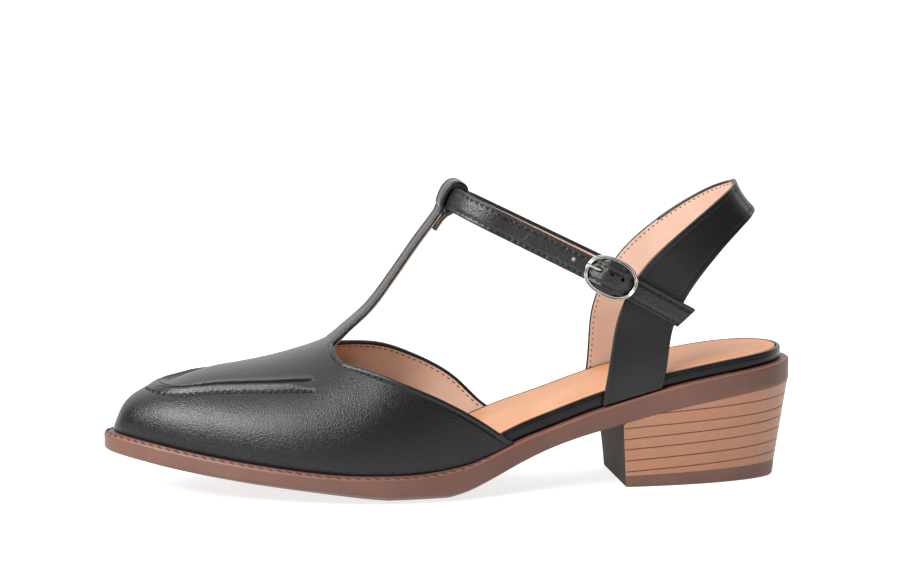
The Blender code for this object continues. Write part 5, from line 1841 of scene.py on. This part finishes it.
def make_prong():
    points, faces = [], []
    rest = BUCKLE_Y - BUCKLE_WIRE - CLEARANCE - PRONG_DEPTH / 2
    path = []
    for share in np.linspace(0.0, 1.0, PRONG_ROWS):
        along = BUCKLE_AT - EYE_RADIUS + (EYE_RADIUS - BUCKLE_HALF_LONG - PRONG_PAST) * share
        path.append(strap_place(along, BUCKLE_Y + (rest - BUCKLE_Y) * share, PRONG_RISE))
    sweep(points, faces, path, prong_section, False)
    ring = [strap_place(BUCKLE_AT + EYE_RADIUS * a, BUCKLE_Y + EYE_RADIUS * b, PRONG_RISE)
            for a, b in full_oval(EYE_POINTS, 1.0)]
    across = strap_place(0.0, 0.0, 1.0) - strap_place(0.0, 0.0, 0.0)
    middle = np.mean(ring, axis=0)
    first = len(points)
    profile = [(EYE_WIRE * a, PRONG_WIDTH / 2 * b) for a, b in full_oval(PRONG_SIDES, PRONG_FULL)]
    for place in ring:
        out = unit(place - middle)
        points += [place + out * a + across * b for a, b in profile]
    made = ring_faces(EYE_POINTS, PRONG_SIDES, closed=True)
    faces += [tuple(v + first for v in face) for face in made]
    return points, faces


prong_points, prong_faces = make_prong()
piece("buckle_tongue", prong_points, prong_faces, [bright_nickel], node="buckle_prong")

# Buckle tab: a short strip of leather from the buckle's bar to the face of the sling, under the strap,
# slotted for the prong and sewn down behind it. A wider leaf of the same leather lies separately across
# the bar under the strap and fills the frame behind it.
TAB_WIDTH = 7.4
TAB_DEPTH = 1.1
TAB_LENGTH = 17.0
TAB_ROWS = 60
TAB_COLUMNS = 16
TAB_ROUND = 0.3
LEAF_REACH = 7.6
LEAF_SPARE = 0.1
TAB_SLOT_HALF = 2.0
# distance below the strap's middle, with something over because it is measured along y
TAB_REACH = (ANKLE_DEPTH / 2 + CLEARANCE + TAB_DEPTH / 2 + 0.15) * 1.12


def tab_sheet(start, end, half_at, rise):
    """Sheet that follows the strap from below, between two places along it."""
    places = []
    for along in np.linspace(start, end, TAB_ROWS):
        y = float(weave(along)) + TAB_REACH
        for share in np.linspace(-1.0, 1.0, TAB_COLUMNS):
            places.append(strap_place(along, BUCKLE_Y + y, rise + share * half_at(along)))
    return np.array(places)


def leaf_half(along):
    """Half width of the leaf inside the oval frame."""
    off = abs(along - BUCKLE_AT) / BUCKLE_HALF_LONG
    return BUCKLE_HALF_HIGH * (1.0 - off ** BUCKLE_FULL) ** (1.0 / BUCKLE_FULL) - BUCKLE_WIRE - LEAF_SPARE


def strip_of(name, sheet, node):
    """Piece of leather of the tab's thickness on both sides of a sheet."""
    faces, normals = facing(sheet, grid_faces(TAB_ROWS, TAB_COLUMNS), 0, OUTWARDS)
    free, out = edges_out(faces, sheet, normals)
    half = normals * TAB_DEPTH / 2
    points, made = wall_of(sheet + half, sheet - half, faces, free, out, TAB_ROUND)
    return piece(name, points, made, [strap_leather], node=node)


tab_start = BUCKLE_AT + BAR_RADIUS + CLEARANCE + TAB_ROUND
tab_end = BUCKLE_AT + TAB_LENGTH - TAB_ROUND
tab = tab_sheet(tab_start, tab_end, lambda along: TAB_WIDTH / 2 - TAB_ROUND, 0.0)
keeper = strip_of("buckle_tab_strip", tab, "buckle_tab")
slot_at = BUCKLE_AT - TAB_SLOT_HALF + EYE_RADIUS
cut_out(keeper, [punch(slot_at, PRONG_RISE, TAB_SLOT_HALF + EYE_WIRE + CLEARANCE,
                       PRONG_WIDTH / 2 + CLEARANCE, strap_leather)])
leaf = tab_sheet(BUCKLE_AT - LEAF_REACH, BUCKLE_AT + LEAF_REACH, leaf_half, BUCKLE_RISE)
strip_of("bar_leaf", leaf, None)

# Studio: a pale glowing floor in a room that is white behind and overhead, dark in front and beyond the
# toe. A soft light hangs over the shoe, another in front of the toe draws the long highlight on the
# vamp, and the camera looks slightly down at the outer side.
IMAGE_WIDTH = 900.0
CAMERA_TURN = math.radians(-8.18)
CAMERA_RISE = math.radians(7.98)
CAMERA_AWAY = 1.400
CAMERA_AIM = Vector((0.00014, 0.00164, 0.07247))
CAMERA_FOCAL = 3799.0          # in pixels of the image's width
FLOOR_COLOUR = (0.44, 0.44, 0.44, 1.0)
FLOOR_DEEP = (0.42, 0.42, 0.42, 1.0)
FLOOR_LIGHT = (1.0, 1.0, 1.0, 1.0)
FLOOR_GLOW = 0.78
FLOOR_REACH = 4.0
ROOM_WHITE = (1.0, 1.0, 1.0, 1.0)
ROOM_BRIGHT = (1.7, 1.7, 1.7, 1.0)
ROOM_FRONT = (0.05, 0.05, 0.05, 1.0)


def soft_light(name, place, aim, size, power):
    lamp = bpy.data.lights.new(name, "AREA")
    lamp.shape = "RECTANGLE"
    lamp.size, lamp.size_y = size
    lamp.energy = power
    made = bpy.data.objects.new(name, lamp)
    made.location = place
    made.rotation_euler = (Vector(aim) - Vector(place)).to_track_quat("-Z", "Y").to_euler()
    bpy.context.scene.collection.objects.link(made)
    return made


def sweep_paper(shade):
    drift = shade.cloud(0.004, 2.0)
    paper = drift.ramp(0.3, 0.7).blend(FLOOR_DEEP, FLOOR_COLOUR)
    return {
        "Base Color": paper,
        "Roughness": 0.9,
        "Emission Color": FLOOR_LIGHT,
        "Emission Strength": FLOOR_GLOW,
    }


floor_mesh = bpy.data.meshes.new("studio_floor")
corners = ((-1, -1), (1, -1), (1, 1), (-1, 1))
floor_places = [(x * FLOOR_REACH, y * FLOOR_REACH, 0.0) for x, y in corners]
floor_mesh.from_pydata(floor_places, [], [(0, 1, 2, 3)])
floor_mesh.materials.append(finish("sweep_paper", sweep_paper))
studio_floor = bpy.data.objects.new("studio_floor", floor_mesh)
bpy.context.scene.collection.objects.link(studio_floor)

soft_light("top_light", place=(0.15, 0.25, 1.3), aim=(0.0, 0.0, 0.05), size=(1.4, 0.8), power=2.0)
soft_light("vamp_light", place=(-0.85, -0.61, 0.79), aim=(-0.06, 0.0, 0.04), size=(1.20, 0.50), power=36.0)

world = bpy.data.worlds.new("studio_white")
world.use_nodes = True
sky = Shade(world.node_tree)
way = sky.node("ShaderNodeTexCoord", {}, {}, "Generated")
back = sky.node("ShaderNodeSeparateXYZ", {}, {0: way}, "Y").ramp(0.05, 0.50)
up = sky.node("ShaderNodeSeparateXYZ", {}, {0: way}, "Z")
side = sky.node("ShaderNodeSeparateXYZ", {}, {0: way}, "X").ramp(-0.90, -0.55)
lit = up.ramp(0.12, 0.45).blend(ROOM_WHITE, ROOM_BRIGHT)
room = back.math("MAXIMUM", back * side, up.ramp(0.60, 1.0)).blend(ROOM_FRONT, lit)
world.node_tree.links.new(room.socket, world.node_tree.nodes["Background"].inputs["Color"])
bpy.context.scene.world = world
bpy.context.scene.view_settings.view_transform = "Standard"

lens = bpy.data.cameras.new("camera")
lens.sensor_width = 36.0
lens.lens = CAMERA_FOCAL / IMAGE_WIDTH * lens.sensor_width
camera = bpy.data.objects.new("camera", lens)
level = math.cos(CAMERA_RISE)
away = Vector((math.sin(CAMERA_TURN) * level, -math.cos(CAMERA_TURN) * level, math.sin(CAMERA_RISE)))
camera.location = CAMERA_AIM + away * CAMERA_AWAY
camera.rotation_euler = (-away).to_track_quat("-Z", "Y").to_euler()
bpy.context.scene.collection.objects.link(camera)
bpy.context.scene.camera = camera
